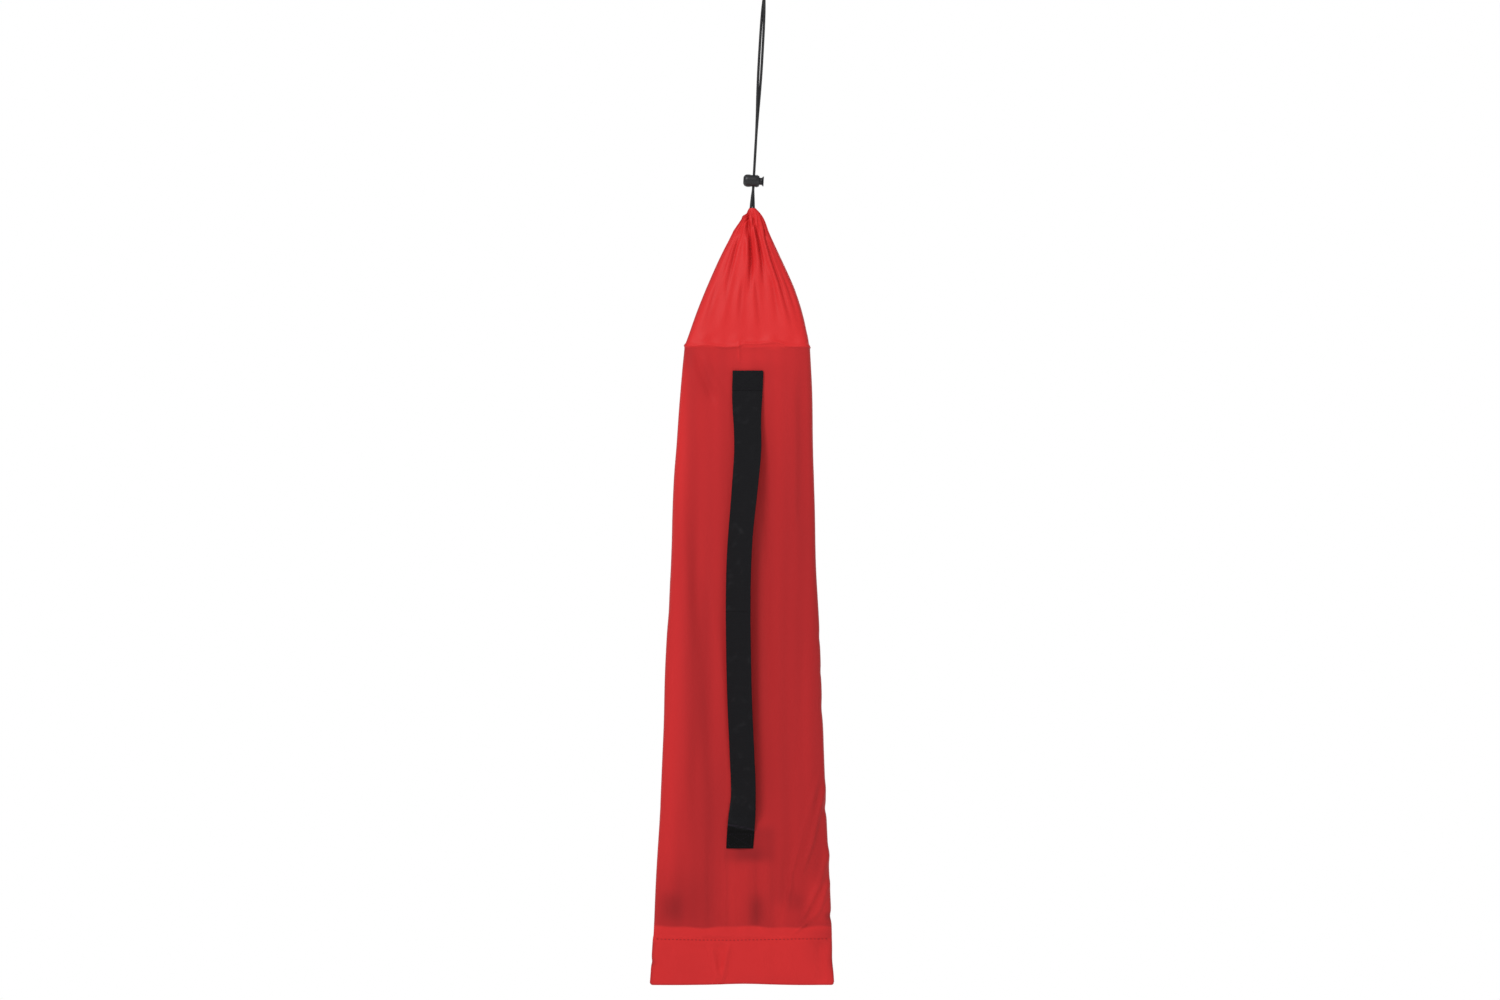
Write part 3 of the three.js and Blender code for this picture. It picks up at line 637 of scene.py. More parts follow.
# Creases of the gathered cone on the front: line, width and depth. Most run from the neck to the shoulder.
FRONT_CREASES = [
    ([(-20.0, -252), (-19.3, -275), (-21.4, -302)], 1.7, 3.4),
    ([(-17.9, -268), (-17.4, -288), (-16.0, -315), (-17.2, -358)], 2.0, 4.4),
    ([(-15.0, -260), (-11.6, -276), (-8.0, -291), (-3.9, -315), (-1.0, -350)], 1.8, 3.8),
    ([(-9.0, -256), (-1.6, -277), (0.5, -291), (7.2, -315), (16, -340), (23.6, -368), (33, -402)], 1.9, 2.8),
    ([(-26.4, -272), (-35.8, -315), (-41.3, -340), (-45.7, -374)], 2.3, 1.9),
    ([(-50, -330), (-62, -370), (-72, -402)], 3.2, 0.9),
    ([(14, -318), (25, -345), (32.4, -368), (40, -400)], 2.2, 1.2),
    ([(-12, -326), (-8.3, -368), (-6, -398)], 2.8, 1.1),
    ([(-25, -332), (-28, -368), (-31, -400)], 2.8, 1.0),
    ([(-13.5, -258), (-14.5, -280)], 1.2, 1.0),
    ([(4.0, -318), (10.0, -350), (15.0, -396)], 2.8, 0.9),
    ([(-31, -284), (-44, -320), (-56, -356)], 2.4, 0.9),
]
# Broad lobes between the creases: line, width and height.
FRONT_LOBES = [
    ([(-27, -278), (-38, -330), (-50, -398)], 5.5, 1.6),
    ([(-22, -286), (-27, -330), (-30, -400)], 5.0, 1.4),
    ([(-8, -300), (-10, -345), (-12, -400)], 5.5, 1.1),
    ([(-1, -286), (14, -340), (26, -398)], 4.5, 1.4),
    ([(-36, -290), (-55, -345), (-72, -398)], 5.0, 1.2),
    ([(5, -278), (28, -336), (40, -392)], 4.0, 1.0),
]
# Folds of the front below the shoulder: line, width and depth, outwards where it is above 0.
FRONT_FOLDS = [
    ([(-96, -470), (-92, -600), (-84, -720), (-82, -800), (-88, -880), (-87, -960), (-97, -1010)], 9.0, 2.6),
    ([(-77, -560), (-74, -680), (-64, -780), (-61, -860), (-58, -920)], 8.5, -2.4),
    ([(-63, -640), (-48, -770), (-47, -900)], 6.0, 1.5),
    ([(-79, -414), (-68, -444), (-54, -474)], 4.5, -1.9),
    ([(-69, -414), (-58, -444), (-44, -470)], 4.5, 1.0),
    ([(26, -430), (28, -530), (30, -640)], 7.0, 1.2),
    ([(38, -425), (39, -540), (37, -625)], 5.0, -1.9),
    ([(-2, -560), (1, -700), (6, -840)], 6.0, -1.2),
    ([(12, -620), (16, -760), (20, -900)], 7.0, 0.9),
    ([(44, -700), (40, -800), (32, -900)], 6.0, -1.0),
    ([(61, -870), (44, -934), (29, -989), (22, -1036)], 3.0, 2.5),
    ([(67, -880), (52, -949), (38, -995)], 2.6, 2.1),
    ([(56, -890), (40, -950), (25, -1010)], 2.4, -1.6),
    ([(72, -950), (58, -1000), (34, -1050)], 3.4, 2.2),
    ([(71, -990), (58, -1030), (28, -1056)], 2.6, 1.7),
    ([(-46, -940), (-44, -1000), (-45, -1056)], 3.0, 0.8),
    ([(-33, -962), (-31, -1000), (-29, -1060)], 4.5, -0.8),
    ([(-22, -962), (-21, -1000), (-18, -1060)], 4.0, 0.9),
    ([(-10, -968), (-8, -1010), (-7, -1056)], 3.5, -1.2),
    ([(3, -960), (4, -1010), (5, -1054)], 3.5, 0.9),
    ([(22, -960), (20, -1000), (16, -1050)], 4.0, -0.7),
    ([(-62, -940), (-62, -1000), (-60, -1056)], 4.0, -0.9),
    ([(-112, -900), (-110, -1010)], 5.0, -0.8),
    ([(-62, -1060), (-56, -1085), (-50, -1114)], 2.6, 1.7),
    ([(-39, -1060), (-44, -1085), (-49, -1114)], 2.6, 1.6),
    ([(-50, -1060), (-50, -1100)], 3.6, -1.2),
    ([(-2, -1060), (3, -1116)], 7.0, 0.9),
    ([(58, -1058), (62, -1085), (64, -1114)], 6.0, -1.8),
    ([(22, -1060), (34, -1112)], 4.0, 0.5),
    ([(-96, -1062), (-100, -1112)], 6.0, 0.5),
    ([(-29.5, -402), (-29, -428)], 1.6, 1.1),
]
BACK_FOLDS = [
    ([(-60, -430), (-64, -540), (-66, -660)], 8.0, -2.0),
    ([(-44, -440), (-46, -560), (-50, -700)], 8.0, 1.4),
    ([(20, -440), (26, -570), (30, -700)], 9.0, -2.0),
    ([(38, -450), (44, -640), (50, -820)], 8.0, 1.6),
    ([(-20, -520), (-22, -660), (-24, -800)], 10.0, 1.2),
    ([(-80, -700), (-84, -820), (-88, -940)], 7.0, -2.0),
    ([(-50, -830), (-38, -920), (-20, -1020)], 4.0, -1.6),
    ([(66, -870), (50, -950), (20, -1034)], 3.0, 1.7),
    ([(-108, -900), (-90, -970), (-62, -1036)], 3.4, 1.7),
    ([(0, -900), (4, -980), (6, -1054)], 5.0, -1.2),
    ([(-104, -980), (-90, -1020), (-80, -1054)], 3.0, -1.3),
    ([(36, -940), (30, -1000), (28, -1054)], 4.0, -1.2),
    ([(-84, -424), (-60, -450), (-44, -490)], 4.0, -1.4),
    ([(-40, -1062), (-30, -1112)], 3.0, -0.8),
    ([(30, -1062), (20, -1112)], 3.0, 0.8),
]


def back_creases():
    """Creases of the cone's back: one from the neck towards the shoulder at each of twelve places round
    it."""
    rng = np.random.default_rng(7)
    made = []
    for share in np.linspace(-0.85, 0.85, 12):
        start, end = rng.uniform(0.0, 0.3), rng.uniform(0.55, 1.0)
        z = CASING_FOOT_Z + 14.0 - (CONE_HEIGHT + 14.0) * np.linspace(start, end, 4)
        middle, half, _, _ = section(z)
        x = middle + half * (share + rng.uniform(-0.05, 0.05) * np.linspace(0.0, 1.0, 4))
        width = rng.choice([-1.0, 1.0]) * rng.uniform(1.4, 2.4)
        made.append((np.column_stack([x, z]), width, rng.uniform(1.0, 2.4)))
    return made


def relief(angle, z, share, half, middle, front):
    """How far the cloth stands out from the plain section, in millimetres: creases, folds, the fine
    gathers at the neck, ripples down the body, waves of the hem, the sewn line's dip and the shoulder's
    edge."""
    x = share * half + middle
    out = np.zeros_like(x)
    for line, width, depth in FRONT_CREASES if front else BACK_CREASES:
        out += crease(x, z, line, width, depth)
    for line, width, depth in [*FRONT_LOBES, *FRONT_FOLDS] if front else BACK_FOLDS:
        out += fold(x, z, line, width, depth)
    g = np.clip((CASING_FOOT_Z - z) / CONE_HEIGHT, 0.0, 1.0)
    gather = (1.0 - g) ** 4.0 * smooth((NECK_Z - z) / 9.0 + 0.15) * np.clip(half / 12.0, 0.2, 1.0)
    out += gather * (0.5 * np.sin(19 * angle + 1.3 * np.sin(3 * angle)) + 0.3 * np.sin(31 * angle + 0.7))
    body = smooth((SHOULDER_Z - z) / 40.0) * smooth((z - STITCH_Z) / 30.0)
    out += body * (0.4 * np.sin(x / 9.0 + z / 210.0) + 0.25 * np.sin(x / 4.6 - z / 95.0 + 1.0))
    hem = smooth((STITCH_Z + 4.0 - z) / 4.0)
    out += hem * (0.5 * np.sin(x / 21.0 + 0.6) + 0.2 * np.sin(x / 7.5 + z / 14.0))
    out += bell((z - STITCH_Z) / 1.4) * (0.14 * np.sin(x * 2 * math.pi / 9.0 + np.sin(x / 17.0)) - 0.22)
    if front:
        pulled = smooth((SHOULDER_Z - 1.0 - z) / 20.0) * smooth((z - STRAP_TOP_Z + 60.0) / 50.0)
        out += 1.1 * pulled * bell((x + 8.0) / 26.0)
    scallop = 0.5 * np.sin(x / 6.3 + 0.5) + 0.35 * np.sin(x / 2.9)
    out += bell((z - SHOULDER_Z - 0.4) / 1.9) * 1.1 + bell((z - SHOULDER_Z - 7.0) / 6.0) * scallop
    return out * smooth(np.abs(np.sin(angle)) / 0.3)


def surface(angle, z, front):
    """Points of the bag's outside at each angle round it and each height: the plain section, pushed out
    along its normal by the relief, with the shoulder's edge and the foot moved a little up or down."""
    middle, half, depth, square = section(z, front)
    c, s = np.cos(angle), np.sin(angle)
    reach = (np.abs(c) ** square + np.abs(s) ** square) ** (-1.0 / square)
    share, deep = c * reach, np.abs(s) * reach
    nx = np.sign(c) * np.abs(share) ** (square - 1.0) / half
    ny = np.sign(s) * np.abs(deep) ** (square - 1.0) / depth
    size = np.hypot(nx, ny) + 1e-9
    out = relief(angle, z, share, half, middle, front)
    x = middle + half * share + out * nx / size
    y = np.sign(s) * (0.35 + (depth - 0.35) * deep) + out * ny / size
    raised = 2.4 * smooth((x + 32.0) / 10.0) * smooth((26.0 - x) / 12.0)
    lift = bell((z - SHOULDER_Z) / 7.0) * (0.9 * np.sin(x / 14.0 + 1.0) + 0.6 * np.sin(x / 5.5) + raised)
    foot = smooth((STITCH_Z - z) / (STITCH_Z - HEM_FOOT_Z)) ** 2
    corner = np.clip((np.abs(share) * half - half + 3.2) / 3.2, 0.0, 1.0)
    lift = lift + foot * (1.3 * bell((x + 22.0) / 34.0) + 3.2 * (1.0 - np.sqrt(1.0 - corner**2)))
    return np.stack([x, y, z + lift], -1)


def even_angles(heights, start, end, count):
    """Angles that space points evenly along the plain section, from start to end, at each height."""
    fine = np.linspace(start, end, 721)
    _, half, depth, square = (value[:, None] for value in section(heights, start < 0.0))
    c, s = np.cos(fine)[None, :], np.sin(fine)[None, :]
    reach = (np.abs(c) ** square + np.abs(s) ** square) ** (-1.0 / square)
    steps = np.hypot(np.diff(half * c * reach, axis=1), np.diff(depth * s * reach, axis=1))
    run = np.concatenate([np.zeros((len(heights), 1)), np.cumsum(steps, 1)], 1)
    share = np.linspace(0.0, 1.0, count)
    return np.array([np.interp(share * row[-1], row, fine) for row in run])


# Painted light and shade on the front: the contents' shadows seen through it, lighter and darker bands,
# and shade below the strap's end. Middle, half width, half height and how dark, or how light where it is
# below 0.
PAINTED_LIGHT_AND_SHADE = [
    (-103, -1023, 13, 15, 0.26),
    (-84, -1016, 34, 34, 0.14),
    (-9.5, -1029, 10, 19, 0.34),
    (34, -1017, 8, 10, 0.16),
    (-33, -1010, 15, 42, -0.17),
    (17, -1034, 11, 17, -0.2),
    (56, -1020, 12, 28, -0.28),
    (70, -1034, 5, 4, 0.35),
    (-6, -419, 22, 7, -0.06),
    (-29, -418, 2, 8, -0.14),
    (-64, -446, 13, 20, 0.10),
    (-70, -760, 13, 100, 0.14),
    (-98, -740, 9, 230, -0.24),
    (-93, -500, 7, 90, -0.22),
    (-87, -418, 8, 16, 0.16),
    (-52, -740, 7, 100, -0.08),
    (40, -540, 8, 90, 0.08),
    (-14, -420, 60, 14, -0.05),
    (-112, -925, 11, 95, -0.22),
    (-106, -800, 8, 70, -0.1),
    (-58, -930, 20, 60, 0.08),
    (-66, -900, 14, 90, 0.06),
    (44, -680, 14, 90, 0.05),
    (-17, -966, 16, 7, 0.14),
]
# Soft painted shade on the hem, as above.
HEM_PAINTED_SHADE = [
    (55, -1072, 12, 15, 0.11),
    (-123, -1085, 4, 4, 0.2),
    (-84, -1092, 26, 22, 0.05),
    (71, -1050, 5, 9, 0.18),
    (-62, -1066, 18, 3, 0.05),
    (10, -1104, 60, 5, 0.04),
    (-112, -1070, 9, 18, 0.04),
    (64, -1055, 15, 10, 0.24),
    (73, -1084, 6, 14, 0.28),
]
# The reinforcement behind the strap's lower end, painted as shade through the front: middle, half width and
# half height.
PATCH = (-17.0, -954.0, 27.0, 20.0)


def painted_shade_of(points, front):
    """Painted light and shade on the cloth at each point, from 0 to 1: painted shade of the contents, darker
    over them than over the empty cone and hem, most where something lies close behind it, and in the depth of
    the gathers."""
    x, z = points[..., 0], points[..., 2]
    wave = 0.9 * np.sin(x / 15.0) + 0.5 * np.sin(x / 5.7 + 1.0)
    held = smooth((SHOULDER_Z - z) / 2.5) * smooth((z - SHOULDER_Z + CONTENTS_END + wave) / 3.4)
    # Painted shade of the contents seen through the cloth, deeper lower down and towards the right side.
    dark = mix(0.36, 0.47, smooth((SHOULDER_Z - z) / 230.0)) + 0.06 * smooth((x + 10.0) / 50.0)
    if front:
        for px, pz, rx, rz, amount in PAINTED_LIGHT_AND_SHADE:
            dark += amount * np.exp(-(((x - px) / rx) ** 2) - np.abs((z - pz) / rz) ** 3)
        # Painted shade of the reinforcement patch behind the front.
        px, pz, rx, rz = PATCH
        dark += 0.24 * np.exp(-(np.abs((x - px) / rx) ** 6) - np.abs((z - pz) / rz) ** 6)
    streaks = 0.022 * np.sin(x / 2.7 + 0.8 * np.sin(z / 70.0)) + 0.024 * np.sin(x / 6.1 - z / 190.0)
    shades = np.zeros_like(x)
    if front:
        for px, pz, rx, rz, amount in HEM_PAINTED_SHADE:
            shades += amount * bell((x - px) / rx) * bell((z - pz) / rz)
    return np.clip(held * (dark + streaks) + shades, 0.0, 1.0)


def painted_crease_shade(x, z, front):
    """Painted shade in the depth of the creases: the valleys' share of each one."""
    dark = np.zeros_like(x)
    for line, width, depth in FRONT_CREASES if front else BACK_CREASES:
        place, along = line_place(z, line)
        window = smooth(along / 0.3) * smooth((1.0 - along) / 0.6)
        reach = abs(width) * (0.45 + 0.8 * np.clip(along, 0.0, 1.0))
        dark += 0.08 * depth * window * bell((x - place) / reach)
    return dark


def painted_rim_shade(x, z, front):
    """Painted shade along the cone's and the hem's edges, within about two millimetres of the side seams, and
    along the hem's foot.
    """
    middle, half, _, _ = section(z, front)
    away = np.clip(half - np.abs(x - middle), 0.0, None)
    bare = 1.0 - smooth((SHOULDER_Z + 4.0 - z) / 14.0) + smooth((STITCH_Z - z) / 6.0)
    return 0.34 * bare * bell(away / 2.4) + 0.36 * smooth((HEM_FOOT_Z + 2.4 - z) / 1.8)


def cloth_piece(name, angle, heights, front_of_angle, closed):
    """One piece of the bag: the surface at every angle and height, with UV in millimetres of cloth."""
    z = np.broadcast_to(heights[:, None], angle.shape)
    at_front = front_of_angle(angle)
    points = np.where(at_front[..., None], surface(angle, z, True), surface(angle, z, False))
    steps = np.linalg.norm(np.diff(points, axis=1), axis=2)
    run = np.concatenate([np.zeros((len(heights), 1)), np.cumsum(steps, 1)], 1)
    uv = np.stack([run - run.mean(1, keepdims=True), z], -1)
    x = points[..., 0]
    # The tone is painted light and shade: the contents showing through, the creases and the rims.
    tone = np.where(at_front, painted_shade_of(points, True), painted_shade_of(points, False))
    tone = tone + np.where(at_front, painted_crease_shade(x, z, True), painted_crease_shade(x, z, False))
    tone = tone + painted_rim_shade(x, z, True)
    faces = grid_faces(len(heights), angle.shape[1], closed)
    return add_mesh(name, points.reshape(-1, 3), faces, uv.reshape(-1, 2), np.clip(tone, 0.0, 1.0).ravel())


def rows_between(top, foot, count, power=1.0):
    return top + (foot - top) * np.linspace(0.0, 1.0, count) ** power


def add_bag():
    """Front and back panel, hem and gathered casing, all cut from the one surface."""
    cone = rows_between(CASING_FOOT_Z, SHOULDER_Z + 3.0, 120)
    ledge = rows_between(SHOULDER_Z + 2.5, SHOULDER_Z - 2.5, 13)
    body = rows_between(SHOULDER_Z - 4.0, STITCH_Z + 16.0, 215)
    closing = rows_between(STITCH_Z + 15.0, STITCH_Z, 30)
    heights = np.concatenate([cone, ledge, body, closing])
    ring = np.broadcast_to(np.linspace(-math.pi, math.pi, 440, endpoint=False), (60, 440))
    hem = cloth_piece("bag_hem", ring, rows_between(STITCH_Z, HEM_FOOT_Z, 60), lambda a: a <= 0.0, True)
    dress(hem, NYLON, "bag", "bag_nylon", "bottom_hem")
    casing_rows = rows_between(NECK_Z, CASING_FOOT_Z, 60)
    casing = cloth_piece("bag_casing", ring, casing_rows, lambda a: a <= 0.0, True)
    dress(casing, NYLON, "bag", "bag_nylon", "neck_casing")
    for name, node, start, front, rests_on, ends in (
        ("bag_front", "front_panel", -math.pi, True, ["pole_section_1", "pole_section_4"], [hem, casing]),
        ("bag_back", "back_panel", 0.0, False, ["rolled_sock"], []),
    ):
        angle = even_angles(heights, start, start + math.pi, 261)
        panel = cloth_piece(name, angle, heights, lambda a: np.full(a.shape, front), False)
        dress(panel, NYLON, "bag", "bag_nylon", node)


BACK_CREASES = back_creases()
add_bag()


def add_side_seams():
    """The seam that joins the panels: a thin doubled edge along the bag's side."""
    heights = rows_between(CASING_FOOT_Z, STITCH_Z, 420)
    angle = np.linspace(0.0, 2 * math.pi, 12, endpoint=False)[None, :]
    wide, thick = 2.4, 0.5
    middle, half, _, _ = (value[:, None] for value in section(heights))
    z = np.broadcast_to(heights[:, None], (len(heights), 12))
    for side, name, node in ((-1, "seam_left", "left_side_seam"), (1, "seam_right", "right_side_seam")):
        pucker = 0.12 * np.sin(z / 9.0) + 0.1 * np.sin(z / 23.0)
        x = middle + side * (half - wide - 0.1 + pucker + wide * np.cos(angle))
        y = -side * thick * np.sin(angle) + 0.12 * np.sin(z / 11.0)
        uv = np.stack([wide * angle + 0.0 * z, z], -1).reshape(-1, 2)
        points = np.stack([x, y, z], -1).reshape(-1, 3)
        tone = np.full(len(points), 0.3)
        seam = add_mesh(name, points, grid_faces(len(heights), 12, True), uv, tone)
        dress(seam, NYLON, "bag", "bag_nylon", node)


add_side_seams()


# ---- Carry strap ----

STRAP_TURN = math.radians(26.0)
# Sideways place of the strap's middle, along it from 0 at its upper end to 1 at its lower end.
STRAP_LINE = [
    (0.0, -19.2),
    (0.08, -20.2),
    (0.165, -19.5),
    (0.25, -22.9),
    (0.36, -28.0),
    (0.47, -29.9),
    (0.67, -28.6),
    (0.80, -25.8),
    (0.885, -24.3),
    (0.95, -26.6),
    (1.0, -28.3),
]
TOP_SPREAD = 0.12  # the folded upper end lies a little askew, so it is wider by this share


def strap_middle(z):
    """Sideways place of the strap's middle at a height."""
    along, x, _ = smooth_path([(share * STRAP_LENGTH, place, 0.0) for share, place in STRAP_LINE], 300).T
    return np.interp(STRAP_TOP_Z - z, along, x)


def standing_out(x, z, front=True):
    """How far the front, or the back, stands out from the seam plane at a place, with its folds."""
    middle, half, depth, square = section(z, front)
    share = np.clip((x - middle) / half, -0.999, 0.999)
    deep = (1.0 - np.abs(share) ** square) ** (1.0 / square)
    angle = (-1.0 if front else 1.0) * np.arctan2(deep, share)
    return 0.35 + (depth - 0.35) * deep + relief(angle, z, share, half, middle, front)


LOOSE_TOP = STRAP_TOP_Z - TOP_TAB
LOOSE_FOOT = STRAP_TOP_Z - STRAP_LENGTH + BOTTOM_TAB


STRAP_GAP = 0.3  # between the strap and the cloth that it lies on


def strap_rest(x, z):
    """How far the strap's middle is in front of the seam plane where it lies on the bag: it bridges the
    folds."""
    spread = np.array([-11.0, 0.0, 11.0])
    cloth = standing_out(x[:, None] + spread[None, :], np.repeat(z[:, None], 3, 1)).max(1)
    return cloth + STRAP_GAP + STRAP_THICKNESS / 2


def strap_points(heights, loose):
    """The strap's outside: a flat woven band with rounded edges, carried down the bag. The loose part
    turns its right edge forwards and stands off by 2 sin - sin^2 of its run. Just above the lower tab
    it is creased."""
    round_it = np.linspace(0.0, 2 * math.pi, 64, endpoint=False)
    across = np.sign(np.cos(round_it)) * np.abs(np.cos(round_it)) ** 0.3 * STRAP_WIDTH / 2
    out = np.sign(np.sin(round_it)) * np.abs(np.sin(round_it)) ** 0.5 * STRAP_THICKNESS / 2
    x0 = strap_middle(heights)
    w = np.clip((LOOSE_TOP - heights) / (LOOSE_TOP - LOOSE_FOOT), 0.0, 1.0)
    rise = np.sin(math.pi * w)
    off = loose * (2 * rise - rise * rise)
    turn = STRAP_TURN * loose * (smooth(w / 0.34) * smooth((1.0 - w) / 0.09))[:, None]
    clear = np.sin(turn[:, 0]) * STRAP_WIDTH / 2
    rest = (strap_rest(x0, heights) + np.maximum(STRAP_STANDOFF * off, clear))[:, None]
    across = across[None, :] * (1.0 + TOP_SPREAD * smooth((heights - STRAP_TOP_Z + 66.0) / 50.0))[:, None]
    out = out[None, :]
    z = heights[:, None] + 0.0 * across
    curl = 0.45 * off[:, None] * np.sin(z / 31.0) * (across / 15.0) ** 2
    edge = 0.12 * np.sin(z / 3.1) * smooth((np.abs(across) - 12.0) / 3.0)
    crease_z = LOOSE_FOOT + 4.5 - 0.2 * across
    crease_dent_and_painted_tab_shade = 0.9 * bell((z - crease_z) / 1.3) - 0.8 * bell((z - crease_z - 4.0) / 4.0)
    tucked = 1.3 * smooth((crease_z - z) / 16.0)
    front = smooth(out / 0.4)
    x = x0[:, None] + across * np.cos(turn) - out * np.sin(turn)
    y = -(rest + across * np.sin(turn) + out * np.cos(turn) + curl + edge - (crease_dent_and_painted_tab_shade * front + tucked) * 0.8)
    uv = np.stack([across, z], -1)
    # Tone: painted shade on the lower tab below the crease, and a painted highlight just above the crease.
    tone = smooth((crease_z + 0.6 - z) / 1.2) - 0.9 * bell((z - crease_z - 0.9) / 0.8)
    return np.stack([x, y, z], -1), uv, tone


def strap_piece(name, top, foot, rows, loose):
    """A stretch of the strap, its two ends closed by rows that shrink to a line."""
    inner = rows_between(top - 0.02, foot + 0.02, rows)
    points, uv, tone = strap_points(np.concatenate([[top], inner, [foot]]), loose)
    for end in (0, -1):
        middle = points[end].mean(0)
        points[end] = middle + (points[end] - middle) * 1e-3
    faces = grid_faces(rows + 2, points.shape[1], True)
    return add_mesh(name, points.reshape(-1, 3), faces, uv.reshape(-1, 2), tone.ravel())


def add_strap():
    """Two sewn tabs on the bag, and the loose part in two halves that bow out from it."""
    tab = strap_piece("strap_top_end", STRAP_TOP_Z, LOOSE_TOP, 24, 0.0)
    dress(tab, WEBBING, "bag", "strap_webbing", "strap_top_tab")
    tab = strap_piece("strap_foot_end", LOOSE_FOOT, STRAP_TOP_Z - STRAP_LENGTH, 40, 0.0)
    dress(tab, WEBBING, "bag", "strap_webbing", "strap_bottom_tab")
    middle = (LOOSE_TOP + LOOSE_FOOT) / 2
    for name, top, foot, sewn in (
        ("strap_upper", LOOSE_TOP, middle, LOOSE_TOP),
        ("strap_lower", middle, LOOSE_FOOT, LOOSE_FOOT),
    ):
        half = strap_piece(name, top, foot, 220, 1.0)
        half.data.materials.append(WEBBING)
        start = (float(strap_middle(sewn)) * MM, -0.04, sewn * MM)
        end = (float(strap_middle(middle)) * MM, -0.04, middle * MM)
        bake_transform(half)
        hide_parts("carry_strap")


add_strap()


# ---- Cord lock ----


def to_lock(points):
    """From the lock's own frame, with the cord along its Z at the origin, to the bag's."""
    lean = math.atan2(KNOT_X - LOCK_X, CORD_RUN)
    p = np.asarray(points, float)
    x = LOCK_X + p[..., 0] * math.cos(lean) + p[..., 2] * math.sin(lean)
    z = LOCK_Z - p[..., 0] * math.sin(lean) + p[..., 2] * math.cos(lean)
    return np.stack([x, p[..., 1], z], -1)


def turned(name, profile, segments=72):
    """A profile of (radius, place along X) turned about the lock's X, closed at both ends on the axis."""
    profile = np.asarray(profile, float)
    angle = np.linspace(0.0, 2 * math.pi, segments, endpoint=False)
    radius = np.maximum(profile[:, :1], 1e-4)
    along = profile[:, 1:] + 0.0 * angle[None, :]
    points = np.stack([along, radius * np.cos(angle), radius * np.sin(angle)], -1)
    return add_mesh(name, to_lock(points).reshape(-1, 3), grid_faces(len(profile), segments, True))


def cut_away(piece, cutters):
    """Cuts each cutter out of a piece and removes it."""
    for cutter in cutters:
        step = piece.modifiers.new("cut", "BOOLEAN")
        step.object = cutter
        step.solver = "EXACT"
    bpy.context.view_layer.update()
    shape = bpy.data.meshes.new_from_object(piece.evaluated_get(bpy.context.evaluated_depsgraph_get()))
    piece.modifiers.clear()
    piece.data = shape
    for cutter in cutters:
        bpy.data.objects.remove(cutter)
    return piece


def closed(piece):
    """Merges the points at the poles and turns every face outwards."""
    work = bmesh.new()
    work.from_mesh(piece.data)
    bmesh.ops.remove_doubles(work, verts=work.verts, dist=1e-6)
    bmesh.ops.recalc_face_normals(work, faces=work.faces)
    work.to_mesh(piece.data)
    work.free()
    return piece


def slot_block(name, left, right, deep, tall):
    """A long block with rounded ends in X, that makes a cord slot."""
    angle = np.linspace(0.0, 2 * math.pi, 32, endpoint=False)
    x = (left + right) / 2 + (right - left) / 2 * np.sign(np.cos(angle)) * np.abs(np.cos(angle)) ** 0.5
    y = deep / 2 * np.sign(np.sin(angle)) * np.abs(np.sin(angle)) ** 0.5
    ends = ((1e-4, -tall), (1, -tall), (1, tall), (1e-4, tall))
    rows = [np.stack([x * s, y * s, np.full(32, z)], 1) for s, z in ends]
    for row in rows:
        row[:, 0] = np.where(np.abs(row[:, 0]) < 1e-2, (left + right) / 2, row[:, 0])
    block = add_mesh(name, to_lock(np.array(rows)).reshape(-1, 3), grid_faces(4, 32, True))
    return closed(block)


BARREL_LENGTH, BARREL_RADIUS, CORD_PLACE = 17.8, 6.95, 11.4
STEM_RADIUS, WAIST_RADIUS, HEAD_RADIUS = 4.7, 4.0, 5.6
SLOT_LEFT, SLOT_RIGHT, SLOT_LENGTH = 9.7, 13.1, 5.8
SLOT_DEEP, SLOT_ROOM = 6.5, 1.5  # room: what the barrel's slot leaves where the strands lie side by side
SPRING_WIRE, SPRING_RADIUS, SPRING_FOOT = 0.7, 3.3, 1.9


def arc_profile(points, count=10):
    """Rounds a profile: each corner becomes a short curve through the middles of its sides."""
    p = np.asarray(points, float)
    made = [p[0]]
    for a, b, c in zip(p[:-2], p[1:-1], p[2:]):
        before, after = b + (a - b) * min(0.5, 0.45 / max(np.hypot(*(a - b)), 1e-6)), b + (c - b) * min(
            0.5, 0.45 / max(np.hypot(*(c - b)), 1e-6)
        )
        t = np.linspace(0.0, 1.0, count)[:, None]
        made.extend((1 - t) ** 2 * before + 2 * t * (1 - t) * b + t * t * after)
    made.append(p[-1])
    return np.array(made)


BORE_ROOM = 0.3  # between the plunger and the bore
LIP = 1.2  # flange that keeps the plunger in
END_WALL = 1.6


